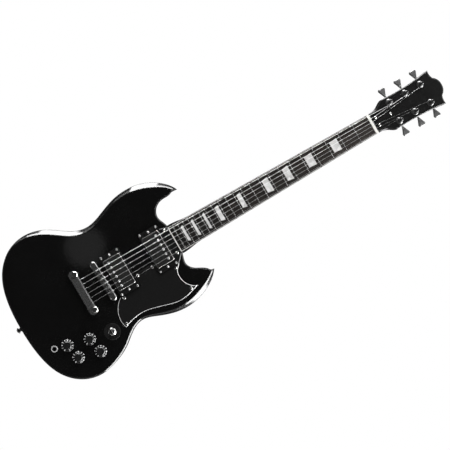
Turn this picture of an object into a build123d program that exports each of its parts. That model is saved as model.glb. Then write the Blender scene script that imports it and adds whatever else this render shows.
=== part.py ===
"""Solid-body electric guitar: two horns, a glued-in neck, two covered pickups and a stop tailpiece.

Frame: millimetres, +Z from the end strap button towards the headstock, the playing face towards -Y and the
treble side towards +X. The origin is the seat of the end strap button; y = 0 is the middle of the body.
"""
from build123d import *
from math import atan2, cos, degrees, pi, radians, sin, tan
import os

os.makedirs("parts", exist_ok=True)

# ---------------------------------------------------------------- driving sizes
# Body
body_thickness = 36.0
side_band = 16.0            # flat band round the edge, between the front and back bevels
edge_break = 3.0            # 45 degree break along the rim of both faces
body_end = 361.0            # where the body stops and the neck goes on
top_wood = 6.0              # wood left over the rear control cavity

# Neck and headstock
neck_angle = 2.5
head_angle = 14.0           # further tilt of the headstock
heel_depth = 30.0
neck_depth_nut = 15.0
neck_depth_twelfth = 17.5
head_thickness = 14.0
overlay_thickness = 1.2
tenon_width = 38.0
tenon_length = 15.0
tenon_depth = 24.0

# Fingerboard
scale_length = 628.65
fret_count = 22
board_margin = 10.2         # board left past the last fret
board_overhang = 1.4        # board lying over the body
board_thickness = 5.8
board_radius = 305.0
nut_width = 43.0
board_end_width = 57.5
binding_width = 1.8
fret_crown_width = 2.4
fret_crown_height = 1.1
fret_tang_width = 0.6
fret_tang_depth = 1.8
inlay_depth = 0.9
nut_length = 5.5            # along the strings
nut_height = 2.6            # above the board
rod_diameter = 5.0
rod_channel_width = 6.0
rod_channel_depth = 9.0
rod_nut_diameter = 8.0

# Strings
string_gauges = [1.17, 0.91, 0.66, 0.43, 0.33, 0.25]
wound_count = 3
string_spread_nut = 36.0
string_spread_bridge = 51.5
nut_string_height = 1.6     # string over the board at the nut
twelfth_action = 1.9

# Bridge and tailpiece
bridge_slant = 2.25         # the bass side sits further from the nut
bridge_length = 89.5
bridge_width = 12.0
bridge_height = 8.0
bridge_post_span = 74.0
bridge_post_diameter = 4.0
thumbwheel_diameter = 15.0
thumbwheel_thickness = 2.4
saddle_width = 7.6
saddle_travel = 8.6
saddle_proud = 3.2
tail_z = 147.0
tail_length = 100.0
tail_width = 17.5
tail_height = 12.5
tail_clearance = 5.5        # bar over the body
tail_stud_span = 82.0
tail_stud_offset = 3.6
stud_diameter = 7.0
stud_head_diameter = 12.5
stud_thread_diameter = 6.0
bushing_diameter = 11.0
bushing_depth = 18.0
ball_diameter = 3.8

# Pickups
bridge_pickup_reach = 37.0  # from the bridge to the middle of its pickup
neck_pickup_gap = 15.6      # from the end of the fingerboard to the pickup's ring
ring_length = 92.0
ring_width = 45.0
ring_screw_span = (84.0, 36.6)
ring_screw_shank = 2.6
ring_screw_depth = 8.0      # into the body
ring_below_cover = 3.6
ring_round = 4.5
pickup_below_string = 2.4
cover_length = 69.0
cover_width = 38.2
cover_height = 14.0
cover_wall = 0.7
pole_pitch = 10.4
pole_offset = 9.4           # row of pole screws from the pickup's centre line
pole_head_diameter = 5.0
height_screw_span = 80.0
rout_depth = 20.0

# Controls
pot_places = {
    "bridge_tone_knob": (75.5, 65.5),
    "neck_tone_knob": (107.5, 73.0),
    "bridge_volume_knob": (87.0, 111.0),
    "neck_volume_knob": (119.5, 118.0),
}
knob_diameter = 25.5
knob_height = 15.5
pot_shaft_diameter = 6.0
pot_bushing_diameter = 9.5
pot_body_diameter = 24.0
pot_body_depth = 9.0
switch_place = (97.0, 157.5)
switch_washer_diameter = 34.0
switch_bushing = 6.0        # radius
jack_place = (68.5, 39.0)
jack_bore = 6.5             # takes a 6.35 mm plug
jack_bushing_diameter = 9.5
cavity_cover_thickness = 2.0
cavity_cover_ledge = 6.0

# Pickguard
guard_thickness = 1.8
guard_bevel = 1.0

# Tuners
tuner_stations = [51.8, 91.4, 130.6]
tuner_spread = 43.0
post_diameter = 6.0
post_height = 19.0          # above the veneer
tuner_bushing_diameter = 10.0
worm_offset = 8.0
worm_depth = 6.0            # worm shaft behind the back of the headstock
worm_shaft_diameter = 4.0
housing_size = (19.0, 21.0, 11.0)
button_reach = 54.0
button_length = 14.0
button_height = 15.0
button_thickness = 7.0

# Strap buttons and fits
strap_button_diameter = 11.6
strap_button_height = 8.5
heel_button_drop = 12.0
heel_seat_diameter = 14.0
seat_gap = 0.05             # radial clearance of a fixed piece in its hole
running_gap = 0.05          # radial clearance of a turning shaft
free_gap = 0.3              # between a moving piece and what it passes

# ---------------------------------------------------------------- planes and shared lines
face = body_thickness / 2


def sloped_plane(tilt, z, height):
    """Plane tilted back up the neck: X to the treble side, Y up the neck, Z out of the face."""
    turn = radians(tilt)
    return Plane(origin=(0, -height, z), x_dir=(1, 0, 0), z_dir=(0, -cos(turn), sin(turn)))


def front_plane(height):
    """Plane parallel to the face at a height towards the front, with local (x, z)."""
    return Plane.XZ.offset(height)


def back_plane(height):
    """Plane looking out of the back of the body, with local (-x, z)."""
    return Plane(origin=(0, height, 0), x_dir=(-1, 0, 0), z_dir=(0, 1, 0))


def point_on(plane, x, y, z=0.0):
    return plane.from_local_coords(Vector(x, y, z))


def spot_plane(plane, x, y, z=0.0):
    """The same plane moved to a local point."""
    return Plane(origin=point_on(plane, x, y, z), x_dir=plane.x_dir, z_dir=plane.z_dir)


neck_plane = sloped_plane(neck_angle, body_end, face)
board_length = scale_length * (1 - 2 ** (-fret_count / 12)) + board_margin
nut_station = board_length - board_overhang
head_start = point_on(neck_plane, 0, nut_station + nut_length)
head_plane = sloped_plane(neck_angle + head_angle, head_start.Z, -head_start.Y)
along_neck = neck_plane.y_dir
axis_depth = board_thickness - board_radius
twelfth_station = nut_station - scale_length / 2

nut_top = point_on(neck_plane, 0, nut_station, board_thickness + nut_string_height)
twelfth_top = point_on(neck_plane, 0, twelfth_station, board_thickness + fret_crown_height + twelfth_action)
string_slope = (nut_top.Y - twelfth_top.Y) / (nut_top.Z - twelfth_top.Z)
string_tilt = degrees(atan2(nut_top.Y - twelfth_top.Y, nut_top.Z - twelfth_top.Z))
bridge_z = nut_top.Z - scale_length * cos(radians(string_tilt))


pickup_stations = {
    "bridge": bridge_z + bridge_pickup_reach,
    "neck": point_on(neck_plane, 0, -board_overhang).Z - neck_pickup_gap - ring_width / 2,
}


def string_height(z):
    """Height of the strings' underside above the body's middle plane."""
    return -nut_top.Y + (nut_top.Z - z) * string_slope


def string_x(index, z):
    """Place of a string across the guitar; index 0 is the thickest."""
    share = index / (len(string_gauges) - 1) - 0.5
    along = (nut_top.Z - z) / (nut_top.Z - bridge_z)
    return share * (string_spread_nut + (string_spread_bridge - string_spread_nut) * along)


def board_width(station):
    """Width of the fingerboard at a distance up the neck plane."""
    share = (station + board_overhang) / board_length
    return board_end_width + (nut_width - board_end_width) * share


def section_plane(station):
    """Plane across the neck, with local (x, height)."""
    return Plane(origin=point_on(neck_plane, 0, station), x_dir=(1, 0, 0), z_dir=along_neck * -1)


def finish(builder, label):
    builder.part.label = label
    export_step(builder.part, f"parts/{label}.step")


# ---------------------------------------------------------------- body
# Silhouette points (x, z, bevel width), from the bass neck corner over both horns to the treble one.
neck_corner = 30.0
bass_cutaway = [
    (-41.0, 354.5, 3.0),
    (-57.5, 349.7, 3.0),
    (-72.0, 354.3, 3.0),
    (-81.5, 363.0, 3.5),
    (-87.3, 377.0, 4.0),
    (-88.0, 393.0, 4.0),
]
upper_horn = (-86.0, 415.5)
upper_horn_inner = (-90.8, 406.0)
outer_edge = [
    (-104.5, 403.0, 7.0),
    (-120.0, 384.0, 9.5),
    (-131.5, 361.0, 10.5),
    (-137.4, 325.0, 8.5),
    (-133.5, 292.0, 7.0),
    (-120.8, 256.0, 7.0),
    (-111.6, 220.0, 8.0),
    (-119.5, 189.0, 9.5),
    (-136.5, 164.0, 10.0),
    (-154.0, 134.0, 9.0),
    (-160.9, 103.0, 6.0),
    (-156.5, 72.0, 3.5),
    (-140.0, 44.0, 3.0),
    (-113.0, 21.5, 3.0),
    (-68.0, 5.6, 3.0),
    (0.0, 0.0, 3.0),
    (68.0, 5.6, 3.0),
    (114.5, 21.5, 3.0),
    (141.5, 44.0, 3.0),
    (157.0, 72.0, 3.0),
    (160.9, 102.0, 3.0),
    (153.8, 134.0, 3.5),
    (137.5, 168.0, 4.0),
    (114.0, 200.0, 4.0),
    (107.6, 222.0, 4.5),
    (116.8, 254.0, 5.5),
    (128.0, 288.0, 7.0),
    (130.8, 318.0, 8.5),
    (124.0, 352.0, 9.5),
    (109.0, 382.0, 8.0),
]
lower_horn = (91.0, 400.0)
lower_horn_inner = (92.6, 392.5)
treble_cutaway = [
    (88.7, 387.0, 4.5),
    (82.6, 369.5, 9.5),
    (71.0, 357.0, 7.0),
    (54.0, 351.0, 4.0),
    (41.0, 353.8, 3.0),
]


def inset_points(start, points, end, share, floor):
    """Moves each point into the body, square to the outline, by its bevel less a floor, times a share."""
    places = [start] + [point[:2] for point in points] + [end]
    moved = []
    for before, point, after in zip(places, points, places[2:]):
        run = Vector(after[0] - before[0], after[1] - before[1]).normalized()
        inset = (point[2] - floor) * share
        moved.append((point[0] - run.Y * inset, point[1] + run.X * inset))
    return moved


def body_outline(floor, cut):
    """Outline at one level: cut 0 is the silhouette, cut 1 takes off the bevels less the floor."""

    def tip(outer, inner):
        """A horn's tip moves towards its place on the face by as much of its bevel as is cut."""
        reach = (Vector(*inner) - Vector(*outer)).length
        move = cut * max(reach - 2 * floor, 0) / reach
        return (outer[0] + (inner[0] - outer[0]) * move, outer[1] + (inner[1] - outer[1]) * move)

    corner = neck_corner - cut * (edge_break - floor)
    bass_corner = (-corner, body_end)
    treble_corner = (corner, body_end)
    horn_bass = tip(upper_horn, upper_horn_inner)
    horn_treble = tip(lower_horn, lower_horn_inner)
    with BuildSketch(mode=Mode.PRIVATE) as outline:
        with BuildLine():
            bass = inset_points(bass_corner, bass_cutaway, horn_bass, -cut, floor)
            Spline(bass_corner, *bass, horn_bass)
            outer = inset_points(horn_bass, outer_edge, horn_treble, cut, floor)
            Spline(horn_bass, *outer, horn_treble)
            treble = inset_points(horn_treble, treble_cutaway, treble_corner, -cut, floor)
            Spline(horn_treble, *treble, treble_corner)
            Line(treble_corner, bass_corner)
        make_face()
    return outline.sketch


def rim_levels():
    """The six outlines that the body's bevels run between, back to front."""
    half_band = side_band / 2
    levels = [(face, 0.0, 1.0), (face - edge_break, edge_break, 1.0), (half_band, 0.0, 0.0)]
    for height, floor, cut in levels:
        yield -height, floor, cut
    for height, floor, cut in reversed(levels):
        yield height, floor, cut


# Control cavity corners (x, z), routed from the back.
cavity_corners = [
    (50.0, 24.0),
    (106.0, 30.0),
    (138.0, 74.0),
    (142.0, 124.0),
    (116.0, 176.0),
    (78.0, 176.0),
    (62.0, 120.0),
    (50.0, 72.0),
]
cavity_round = 13.0
cavity_floor = face - top_wood


def cavity_outline(grow):
    """The control cavity's outline on the back plane, grown outward."""
    with BuildSketch(mode=Mode.PRIVATE) as outline:
        with BuildLine():
            Polyline(*[(-x, z) for x, z in cavity_corners], close=True)
        make_face()
        fillet(outline.vertices(), cavity_round)
        offset(amount=grow, mode=Mode.REPLACE)
    return outline.sketch


def pickup_plane(station):
    """Plane of a pickup's top, parallel to the strings above it."""
    return sloped_plane(string_tilt, station, string_height(station) - pickup_below_string)


bridge_plane = Plane(
    origin=(0, 0, bridge_z),
    x_dir=(cos(radians(bridge_slant)), 0, sin(radians(bridge_slant))),
    z_dir=(0, -1, 0),
)
bridge_base_height = string_height(bridge_z) - saddle_proud - bridge_height
cavity_screws = [(54.5, 20.4), (109.0, 26.8), (145.6, 125.0), (118.2, 180.1), (75.0, 179.0)]
guard_screw_inset = 5.5     # from a pickup ring to the guard's screws beside it
between_rings = [
    pickup_stations["bridge"] + ring_width / 2 + guard_screw_inset,
    pickup_stations["neck"] - ring_width / 2 - guard_screw_inset,
]
arm_middle = pickup_stations["neck"] + ring_width / 2 + neck_pickup_gap / 2
guard_screws = [(50.5, 213.0), (50.2, 333.5), (101.5, 340.0), (97.5, 191.0), (25.0, arm_middle),
                (-26.5, arm_middle)] + [(25.0, z) for z in between_rings]
screw_shank_diameter = 2.8
screw_head_diameter = 6.0
screw_head_height = 2.0
screw_depth = 12.0
strap_screw_diameter = 4.0
strap_screw_depth = 25.0

with BuildPart() as body:
    for height, floor, cut in rim_levels():
        with BuildSketch(front_plane(height)):
            add(body_outline(floor, cut))
    loft(ruled=True)
    # Mortise for the neck's tenon.
    with BuildSketch(front_plane(face)):
        with Locations((0, body_end - tenon_length / 2)):
            Rectangle(tenon_width + 2 * seat_gap, tenon_length + 2 * seat_gap)
    extrude(amount=-(tenon_depth + seat_gap), mode=Mode.SUBTRACT)
    # Pickup routs, with a wider slot for the mounting legs.
    with BuildSketch(front_plane(face)):
        for station in pickup_stations.values():
            with Locations((0, station)):
                RectangleRounded(cover_length + 3, cover_width + 2, 4)
                Rectangle(height_screw_span + 8, 14)
    extrude(amount=-rout_depth, mode=Mode.SUBTRACT)
    # Control cavity and the ledge of its cover.
    with BuildSketch(back_plane(face)):
        add(cavity_outline(0))
    extrude(amount=-(face + cavity_floor), mode=Mode.SUBTRACT)
    with BuildSketch(back_plane(face)):
        add(cavity_outline(cavity_cover_ledge + seat_gap))
    extrude(amount=-(cavity_cover_thickness + seat_gap), mode=Mode.SUBTRACT)
    # Shaft holes of the controls through the top.
    with BuildSketch(front_plane(face)):
        with Locations(*pot_places.values()):
            Circle(pot_bushing_diameter / 2 + seat_gap)
        with Locations(switch_place):
            Circle(switch_bushing + seat_gap)
        with Locations(jack_place):
            Circle(jack_bushing_diameter / 2 + seat_gap)
    extrude(amount=-(top_wood + 1), mode=Mode.SUBTRACT)
    # Bushings of the tailpiece and the bridge posts.
    with BuildSketch(front_plane(face)):
        with Locations(*[(side * tail_stud_span / 2, tail_z + tail_stud_offset) for side in (-1, 1)]):
            Circle(bushing_diameter / 2 + seat_gap)
    extrude(amount=-(bushing_depth + seat_gap), mode=Mode.SUBTRACT)
    with BuildSketch(front_plane(face)):
        with Locations(*[(bridge_plane.from_local_coords(Vector(side * bridge_post_span / 2, 0, 0)).X,
                          bridge_plane.from_local_coords(Vector(side * bridge_post_span / 2, 0, 0)).Z)
                         for side in (-1, 1)]):
            Circle(bridge_post_diameter / 2 + seat_gap)
    extrude(amount=-20, mode=Mode.SUBTRACT)
    # Pilot holes of the wood screws.
    pilot = screw_shank_diameter / 2 + seat_gap
    with BuildSketch(front_plane(face)):
        with Locations(*guard_screws):
            Circle(pilot)
    extrude(amount=-screw_depth, mode=Mode.SUBTRACT)
    with BuildSketch(back_plane(face)):
        with Locations(*[(-x, z) for x, z in cavity_screws]):
            Circle(pilot)
    extrude(amount=-screw_depth, mode=Mode.SUBTRACT)
    with BuildSketch(Plane.XY):
        Circle(strap_screw_diameter / 2 + seat_gap)
    extrude(amount=strap_screw_depth, mode=Mode.SUBTRACT)
    # Pilot holes of the pickup rings' screws, square to the tilted rings.
    for station in pickup_stations.values():
        top = pickup_plane(station).offset(-ring_below_cover)
        with BuildSketch(top):
            with GridLocations(*ring_screw_span, 2, 2):
                Circle(ring_screw_shank / 2 + seat_gap)
        extrude(amount=-(ring_screw_depth + string_height(station) - face), mode=Mode.SUBTRACT)
finish(body, "body")

with BuildPart() as control_cavity_cover:
    with BuildSketch(back_plane(face)):
        add(cavity_outline(cavity_cover_ledge))
    extrude(amount=-cavity_cover_thickness)
    with BuildSketch(back_plane(face)):
        with Locations(*[(-x, z) for x, z in cavity_screws]):
            Circle(screw_shank_diameter / 2 + seat_gap)
    extrude(amount=-cavity_cover_thickness, mode=Mode.SUBTRACT)
finish(control_cavity_cover, "control_cavity_cover")

# ---------------------------------------------------------------- neck
head_outline_points = [
    (23.4, 20.0),
    (27.0, 28.0),
    (31.4, 35.0),
    (34.2, 42.0),
]
head_side = [(33.6, 72.0), (34.4, 112.0)]
head_corner = (39.2, 160.0)
head_dip = (28.0, 159.5)
head_bulge = (20.5, 162.0)
head_tip = 172.8
head_root = (22.4, 8.0)


def head_outline():
    """Headstock outline in the head plane: a flare, long sides, corners and a rounded tip."""
    with BuildSketch(mode=Mode.PRIVATE) as outline:
        with BuildLine() as half:
            Line((0, head_root[1]), head_root)
            Spline(head_root, *head_outline_points)
            Spline(head_outline_points[-1], *head_side, head_corner)
            ThreePointArc(head_corner, head_dip, head_bulge)
            ThreePointArc(head_bulge, (head_bulge[0] * 0.62, head_tip - 3.1), (0, head_tip))
            mirror(half.line, about=Plane.YZ)
        make_face()
    return outline.sketch


def neck_section(width, depth, square):
    """Cross-section of the neck before its top is planed: square runs from 0 for a C to 1 for a box."""
    half = width / 2
    side = 0.80 + 0.15 * square
    low = 0.62 + 0.24 * square
    with BuildSketch(mode=Mode.PRIVATE) as section:
        with BuildLine():
            Polyline((half, 0), (half, planing), (-half, planing), (-half, 0))
            shoulder = (half * side, -depth * low)
            Spline((-half, 0), (-shoulder[0], shoulder[1]), (0, -depth), shoulder, (half, 0))
        make_face()
    return section.sketch


def head_section_plane(station):
    return Plane(origin=point_on(head_plane, 0, station), x_dir=(1, 0, 0), z_dir=head_plane.y_dir * -1)


def neck_depth(station):
    share = (nut_station - station) / (scale_length / 2)
    return neck_depth_nut + (neck_depth_twelfth - neck_depth_nut) * share


truss_cover_screws = [(9.0, 9.8), (-9.0, 9.8), (0.0, 42.5)]
tuner_screw_diameter = 2.4
ear_reach = housing_size[0] / 2 + 2.6       # from a post to the screw of its housing's ear
tuner_ear_spread = tuner_spread - 2 * ear_reach
blend_length = 20.0         # the shaft swells into the headstock over this length
blend_back = 6.0            # and starts this far before the nut's back edge
shaft_end = nut_station + nut_length
planing = 2.0               # wood planed off the lofts to leave true flats under the board and the veneer
overlay_root = 1.0
# Distance from the body and how much of the heel is left there.
heel_steps = [(0.0, 1.0), (8.0, 1.0), (16.0, 0.92), (23.0, 0.78), (30.0, 0.58), (37.0, 0.38), (44.0, 0.20),
              (51.0, 0.07), (58.0, 0.0)]
heel_plane = Plane(origin=point_on(neck_plane, 0, heel_button_drop, 1.0 - heel_depth), x_dir=(-1, 0, 0),
                   z_dir=neck_plane.z_dir * -1)

with BuildPart() as neck:
    # Heel and shaft: the heel sinks away from the body into the slim shaft.
    for station, share in heel_steps:
        depth = neck_depth(station) + (heel_depth - neck_depth(station)) * share
        with BuildSketch(section_plane(station)):
            add(neck_section(board_width(station), depth, share))
    with BuildSketch(section_plane(shaft_end - blend_back)):
        add(neck_section(board_width(shaft_end - blend_back), neck_depth(shaft_end - blend_back), 0.0))
    # The shaft swells into the headstock.
    with BuildSketch(head_section_plane(blend_length)):
        add(neck_section(2 * head_root[0] - 1.6, head_thickness - 0.8, 0.6))
    loft(ruled=True)
    with BuildSketch(neck_plane):
        with Locations((0, shaft_end / 2 - 10)):
            Rectangle(2 * board_end_width, shaft_end + 20)
    extrude(amount=5 * planing, mode=Mode.SUBTRACT)
    with BuildSketch(head_plane):
        with Locations((0, blend_length)):
            Rectangle(2 * board_end_width, 3 * blend_length)
    extrude(amount=5 * planing, mode=Mode.SUBTRACT)
    with BuildSketch(head_plane):
        add(head_outline())
    extrude(amount=-head_thickness)
    # Square end against the body, then the tenon that goes into it.
    with BuildSketch(Plane.XY.offset(body_end)):
        Rectangle(2 * board_end_width, 4 * heel_depth)
    extrude(amount=-10, mode=Mode.SUBTRACT)
    with BuildSketch(front_plane(face)):
        with Locations((0, body_end - tenon_length / 2 + 1)):
            Rectangle(tenon_width, tenon_length + 2)
    extrude(amount=-tenon_depth)
    # Truss rod channel under the board and the pocket for its nut in the headstock.
    with BuildSketch(neck_plane):
        with Locations((0, (nut_station + nut_length + 6) / 2)):
            Rectangle(rod_channel_width, nut_station + nut_length - 6)
    extrude(amount=-rod_channel_depth, mode=Mode.SUBTRACT)
    with BuildSketch(head_plane):
        with Locations((0, 12)):
            SlotOverall(30, rod_nut_diameter + 4, rotation=90)
    extrude(amount=-8.5, mode=Mode.SUBTRACT)
    # Tuner holes.
    with BuildSketch(head_plane):
        with Locations(*[(side * tuner_spread / 2, s) for s in tuner_stations for side in (-1, 1)]):
            Circle(tuner_bushing_diameter / 2 + seat_gap)
    extrude(amount=-head_thickness, mode=Mode.SUBTRACT)
    # Pilot holes of the truss rod cover's screws, and of the tuners' screws in the back.
    with BuildSketch(head_plane):
        with Locations(*truss_cover_screws):
            Circle(screw_shank_diameter / 2 + seat_gap)
    extrude(amount=-screw_depth + 3, mode=Mode.SUBTRACT)
    with BuildSketch(head_plane.offset(-head_thickness)):
        with Locations(*[(side * tuner_ear_spread / 2, s + worm_offset / 2) for s in tuner_stations
                         for side in (-1, 1)]):
            Circle(tuner_screw_diameter / 2 + seat_gap)
    extrude(amount=9.0, mode=Mode.SUBTRACT)
    # Spot face and pilot hole of the heel strap button.
    with BuildSketch(heel_plane):
        Circle(heel_seat_diameter / 2)
    extrude(amount=6, mode=Mode.SUBTRACT)
    with BuildSketch(heel_plane):
        Circle(strap_screw_diameter / 2 + seat_gap)
    extrude(amount=-strap_screw_depth, mode=Mode.SUBTRACT)
finish(neck, "neck")

with BuildPart() as headstock_overlay:
    with BuildSketch(head_plane):
        add(head_outline())
        with Locations((0, (head_root[1] + overlay_root) / 2)):
            Rectangle(2 * head_root[0] - 1, head_root[1] - overlay_root + 0.01)
        with Locations((0, 12)):
            SlotOverall(30, rod_nut_diameter + 4, rotation=90, mode=Mode.SUBTRACT)
        with Locations(*[(side * tuner_spread / 2, s) for s in tuner_stations for side in (-1, 1)]):
            Circle(tuner_bushing_diameter / 2 + seat_gap, mode=Mode.SUBTRACT)
        with Locations(*truss_cover_screws):
            Circle(screw_shank_diameter / 2 + seat_gap, mode=Mode.SUBTRACT)
    extrude(amount=overlay_thickness)
finish(headstock_overlay, "headstock_overlay")

# ---------------------------------------------------------------- fingerboard
fret_stations = [
    nut_station - scale_length * (1 - 2 ** (-number / 12))
    for number in range(1, fret_count + 1)
]
inlay_frets = {3: (17.0, 0.56), 5: (17.0, 0.56), 7: (13.5, 0.61), 9: (13.5, 0.61), 12: (9.3, 0.62),
               15: (9.0, 0.62), 17: (5.2, 0.66), 19: (5.2, 0.66), 21: (5.2, 0.63)}
inlay_taper = 0.87          # body-side width of an inlay against its nut side


def board_blank(trim):
    """Tapered blank under the cambered top, trimmed on both sides and at the body end."""
    low = -board_overhang + trim
    with BuildPart(mode=Mode.PRIVATE) as blank:
        with BuildSketch(neck_plane):
            with BuildLine():
                ends = [(board_width(end) / 2 - trim, end) for end in (low, nut_station)]
                Polyline(*ends, *[(-x, s) for x, s in reversed(ends)], close=True)
            make_face()
        extrude(amount=board_thickness + 1)
        with BuildSketch(section_plane(-board_overhang - 1)):
            with Locations((0, axis_depth)):
                Circle(board_radius)
        extrude(amount=-(board_length + 4), mode=Mode.INTERSECT)
    return blank.part


def camber_plane(station, angle):
    """Plane through the camber's axis at an angle from the middle, with local (along neck, radius)."""
    centre = point_on(neck_plane, 0, station, axis_depth)
    radial = neck_plane.z_dir * cos(angle) + neck_plane.x_dir * sin(angle)
    return Plane(origin=centre, x_dir=along_neck, z_dir=along_neck.cross(radial))


def camber_ring(station, half_width, low, high, width, crowned):
    """Bar that follows the camber across the board, between two radii from the board's top."""
    half_angle = half_width / board_radius
    plane = camber_plane(station, -half_angle)
    base = board_radius + low
    top = board_radius + high
    with BuildPart(mode=Mode.PRIVATE) as bar:
        with BuildSketch(plane):
            with BuildLine():
                if crowned:
                    Line((width / 2, base), (-width / 2, base))
                    ThreePointArc((-width / 2, base), (0, top), (width / 2, base))
                else:
                    corners = [(-width / 2, base), (width / 2, base), (width / 2, top), (-width / 2, top)]
                    Polyline(*corners, close=True)
            make_face()
        revolve(axis=Axis(plane.origin, along_neck), revolution_arc=degrees(2 * half_angle))
    return bar.part


with BuildPart() as inlays:
    for number, (length, share) in inlay_frets.items():
        middle = (fret_stations[number - 1] + fret_stations[number - 2]) / 2
        half = board_width(middle) * share / 2
        with BuildSketch(neck_plane.offset(board_thickness - inlay_depth)):
            with BuildLine():
                low_half = half * inlay_taper
                Polyline((half, middle + length / 2), (-half, middle + length / 2),
                         (-low_half, middle - length / 2), (low_half, middle - length / 2), close=True)
            make_face()
        extrude(amount=inlay_depth + 1)
    with BuildSketch(section_plane(-board_overhang - 1)):
        with Locations((0, axis_depth)):
            Circle(board_radius)
    extrude(amount=-(board_length + 4), mode=Mode.INTERSECT)
finish(inlays, "inlays")

with BuildPart() as frets:
    for station in fret_stations:
        half = board_width(station) / 2
        add(camber_ring(station, half - 0.2, 0, fret_crown_height, fret_crown_width, True))
        add(camber_ring(station, half - binding_width - 0.5, -fret_tang_depth, 0.2, fret_tang_width, False))
finish(frets, "frets")

with BuildPart() as fingerboard:
    add(board_blank(binding_width))
    add(inlays.part, mode=Mode.SUBTRACT)
    with BuildPart(mode=Mode.PRIVATE) as slots:
        for station in fret_stations:
            half = board_width(station) / 2 - binding_width - 0.45
            add(camber_ring(station, half, -fret_tang_depth - 0.02, 1, fret_tang_width + 0.04, False))
    add(slots.part, mode=Mode.SUBTRACT)
finish(fingerboard, "fingerboard")

with BuildPart() as fingerboard_binding:
    add(board_blank(0))
    add(board_blank(binding_width), mode=Mode.SUBTRACT)
finish(fingerboard_binding, "fingerboard_binding")

rod_depth = rod_channel_depth - rod_diameter / 2 - 0.9
rod_start = 10.0
with BuildPart() as truss_rod:
    with BuildSketch(section_plane(rod_start)):
        with Locations((0, -rod_depth)):
            Circle(rod_diameter / 2)
    extrude(amount=-(shaft_end - rod_start + 4))
    with BuildSketch(section_plane(shaft_end + 4)):
        with Locations((0, -rod_depth)):
            Circle(rod_nut_diameter / 2 - 0.5)
    extrude(amount=-9)
finish(truss_rod, "truss_rod")

cover_top = 47.0
with BuildPart() as truss_rod_cover:
    with BuildSketch(head_plane.offset(overlay_thickness)):
        with BuildLine() as half:
            Line((0, 2), (12.5, 2))
            Line((12.5, 2), (12.5, 10))
            Spline((12.5, 10), (8.4, 20), (6.4, 32), (5.0, cover_top - 5), tangents=((0, 1), (-0.15, 1)))
            ThreePointArc((5.0, cover_top - 5), (3.5, cover_top - 1.5), (0, cover_top))
            mirror(half.line, about=Plane.YZ)
        make_face()
        with Locations(*truss_cover_screws):
            Circle(screw_shank_diameter / 2 + seat_gap, mode=Mode.SUBTRACT)
    extrude(amount=guard_thickness)
finish(truss_rod_cover, "truss_rod_cover")


# ---------------------------------------------------------------- small fasteners
def turned(plane, profile):
    """Solid of revolution about a plane's normal, from (radius, height) corners."""
    side = Plane(origin=plane.origin, x_dir=plane.x_dir, z_dir=plane.y_dir * -1)
    with BuildPart(mode=Mode.PRIVATE) as piece:
        with BuildSketch(side):
            with BuildLine():
                Polyline(*profile, close=True)
            make_face()
        revolve(axis=Axis(plane.origin, plane.z_dir))
    return piece.part


def screw(plane, head, height, shank, depth):
    """Domed screw whose head rests on the plane."""
    radius = shank / 2
    return turned(plane, [(0, -depth), (radius - 0.4, -depth + 1), (radius, -depth + 2), (radius, 0),
                          (head / 2, 0), (head / 2, height * 0.4), (head * 0.32, height * 0.85), (0, height)])


def tube(plane, outer, inner, low, high):
    return turned(plane, [(inner, low), (outer, low), (outer, high), (inner, high)])


guard_plane = front_plane(face + guard_thickness)
cover_plane = back_plane(face)
# ---------------------------------------------------------------- pickguard
guard_lower = [(45.0, 206.0), (52.0, 199.0), (61.5, 191.5), (72.0, 186.2), (86.0, 183.6), (104.0, 186.5)]
guard_side = [
    (97.6, 205.0),
    (94.4, 228.0),
    (98.5, 254.0),
    (106.5, 281.0),
    (112.2, 306.0),
    (109.8, 331.0),
    (102.5, 354.5),
]
guard_upper = [(96.5, 343.5), (84.0, 334.6), (68.0, 331.6), (56.5, 334.4), (51.0, 339.4)]
arm_end = arm_middle + neck_pickup_gap / 2 - 0.6
guard_arm = [(30.0, arm_end), (-29.5, arm_end), (-34.0, arm_middle - neck_pickup_gap / 2)]
guard_inner = 19.0
guard_gap = 0.4             # to the pickup rings


def guard_outline():
    """Two points outside, an inner edge between the pickup rings, and an arm across the end of the neck."""
    ring_edge = ring_length / 2 + guard_gap
    bridge_top = pickup_stations["bridge"] + ring_width / 2 + guard_gap
    neck_station = pickup_stations["neck"]
    start = (ring_edge, guard_lower[0][1])
    with BuildSketch(mode=Mode.PRIVATE) as outline:
        with BuildLine():
            Spline(start, *guard_lower[1:])
            Spline(guard_lower[-1], *guard_side)
            Spline(guard_side[-1], *guard_upper)
            Polyline(
                guard_upper[-1],
                *guard_arm,
                (guard_arm[-1][0], neck_station),
                (guard_inner, neck_station),
                (guard_inner, bridge_top),
                (ring_edge, bridge_top),
                start,
            )
        make_face()
    return outline.sketch


with BuildPart() as pickguard:
    with BuildSketch(front_plane(face)):
        add(guard_outline())
    extrude(amount=guard_thickness)
    # Only the free outer edge is bevelled, not the sides against the pickup rings.
    rim = pickguard.faces().sort_by(Axis.Y)[0].edges()
    free_rim = [edge for edge in rim
                if (edge @ 0.5).X > ring_length / 2 + 1 or (edge @ 0.5).Z > guard_arm[-1][1]]
    chamfer(free_rim, guard_bevel)
    with BuildSketch(front_plane(face)):
        with Locations((0, pickup_stations["neck"])):
            window = (ring_length + 2 * guard_gap, ring_width + 2 * guard_gap)
            RectangleRounded(*window, ring_round + guard_gap)
        with Locations(*guard_screws):
            Circle(screw_shank_diameter / 2 + seat_gap)
    extrude(amount=guard_thickness, mode=Mode.SUBTRACT)
finish(pickguard, "pickguard")

# ---------------------------------------------------------------- pickups
spring_outer = 2.6
spring_inner = 1.9
height_screw_shank = 2.6
plate_thickness = 1.2
bobbin_height = 11.0


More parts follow.
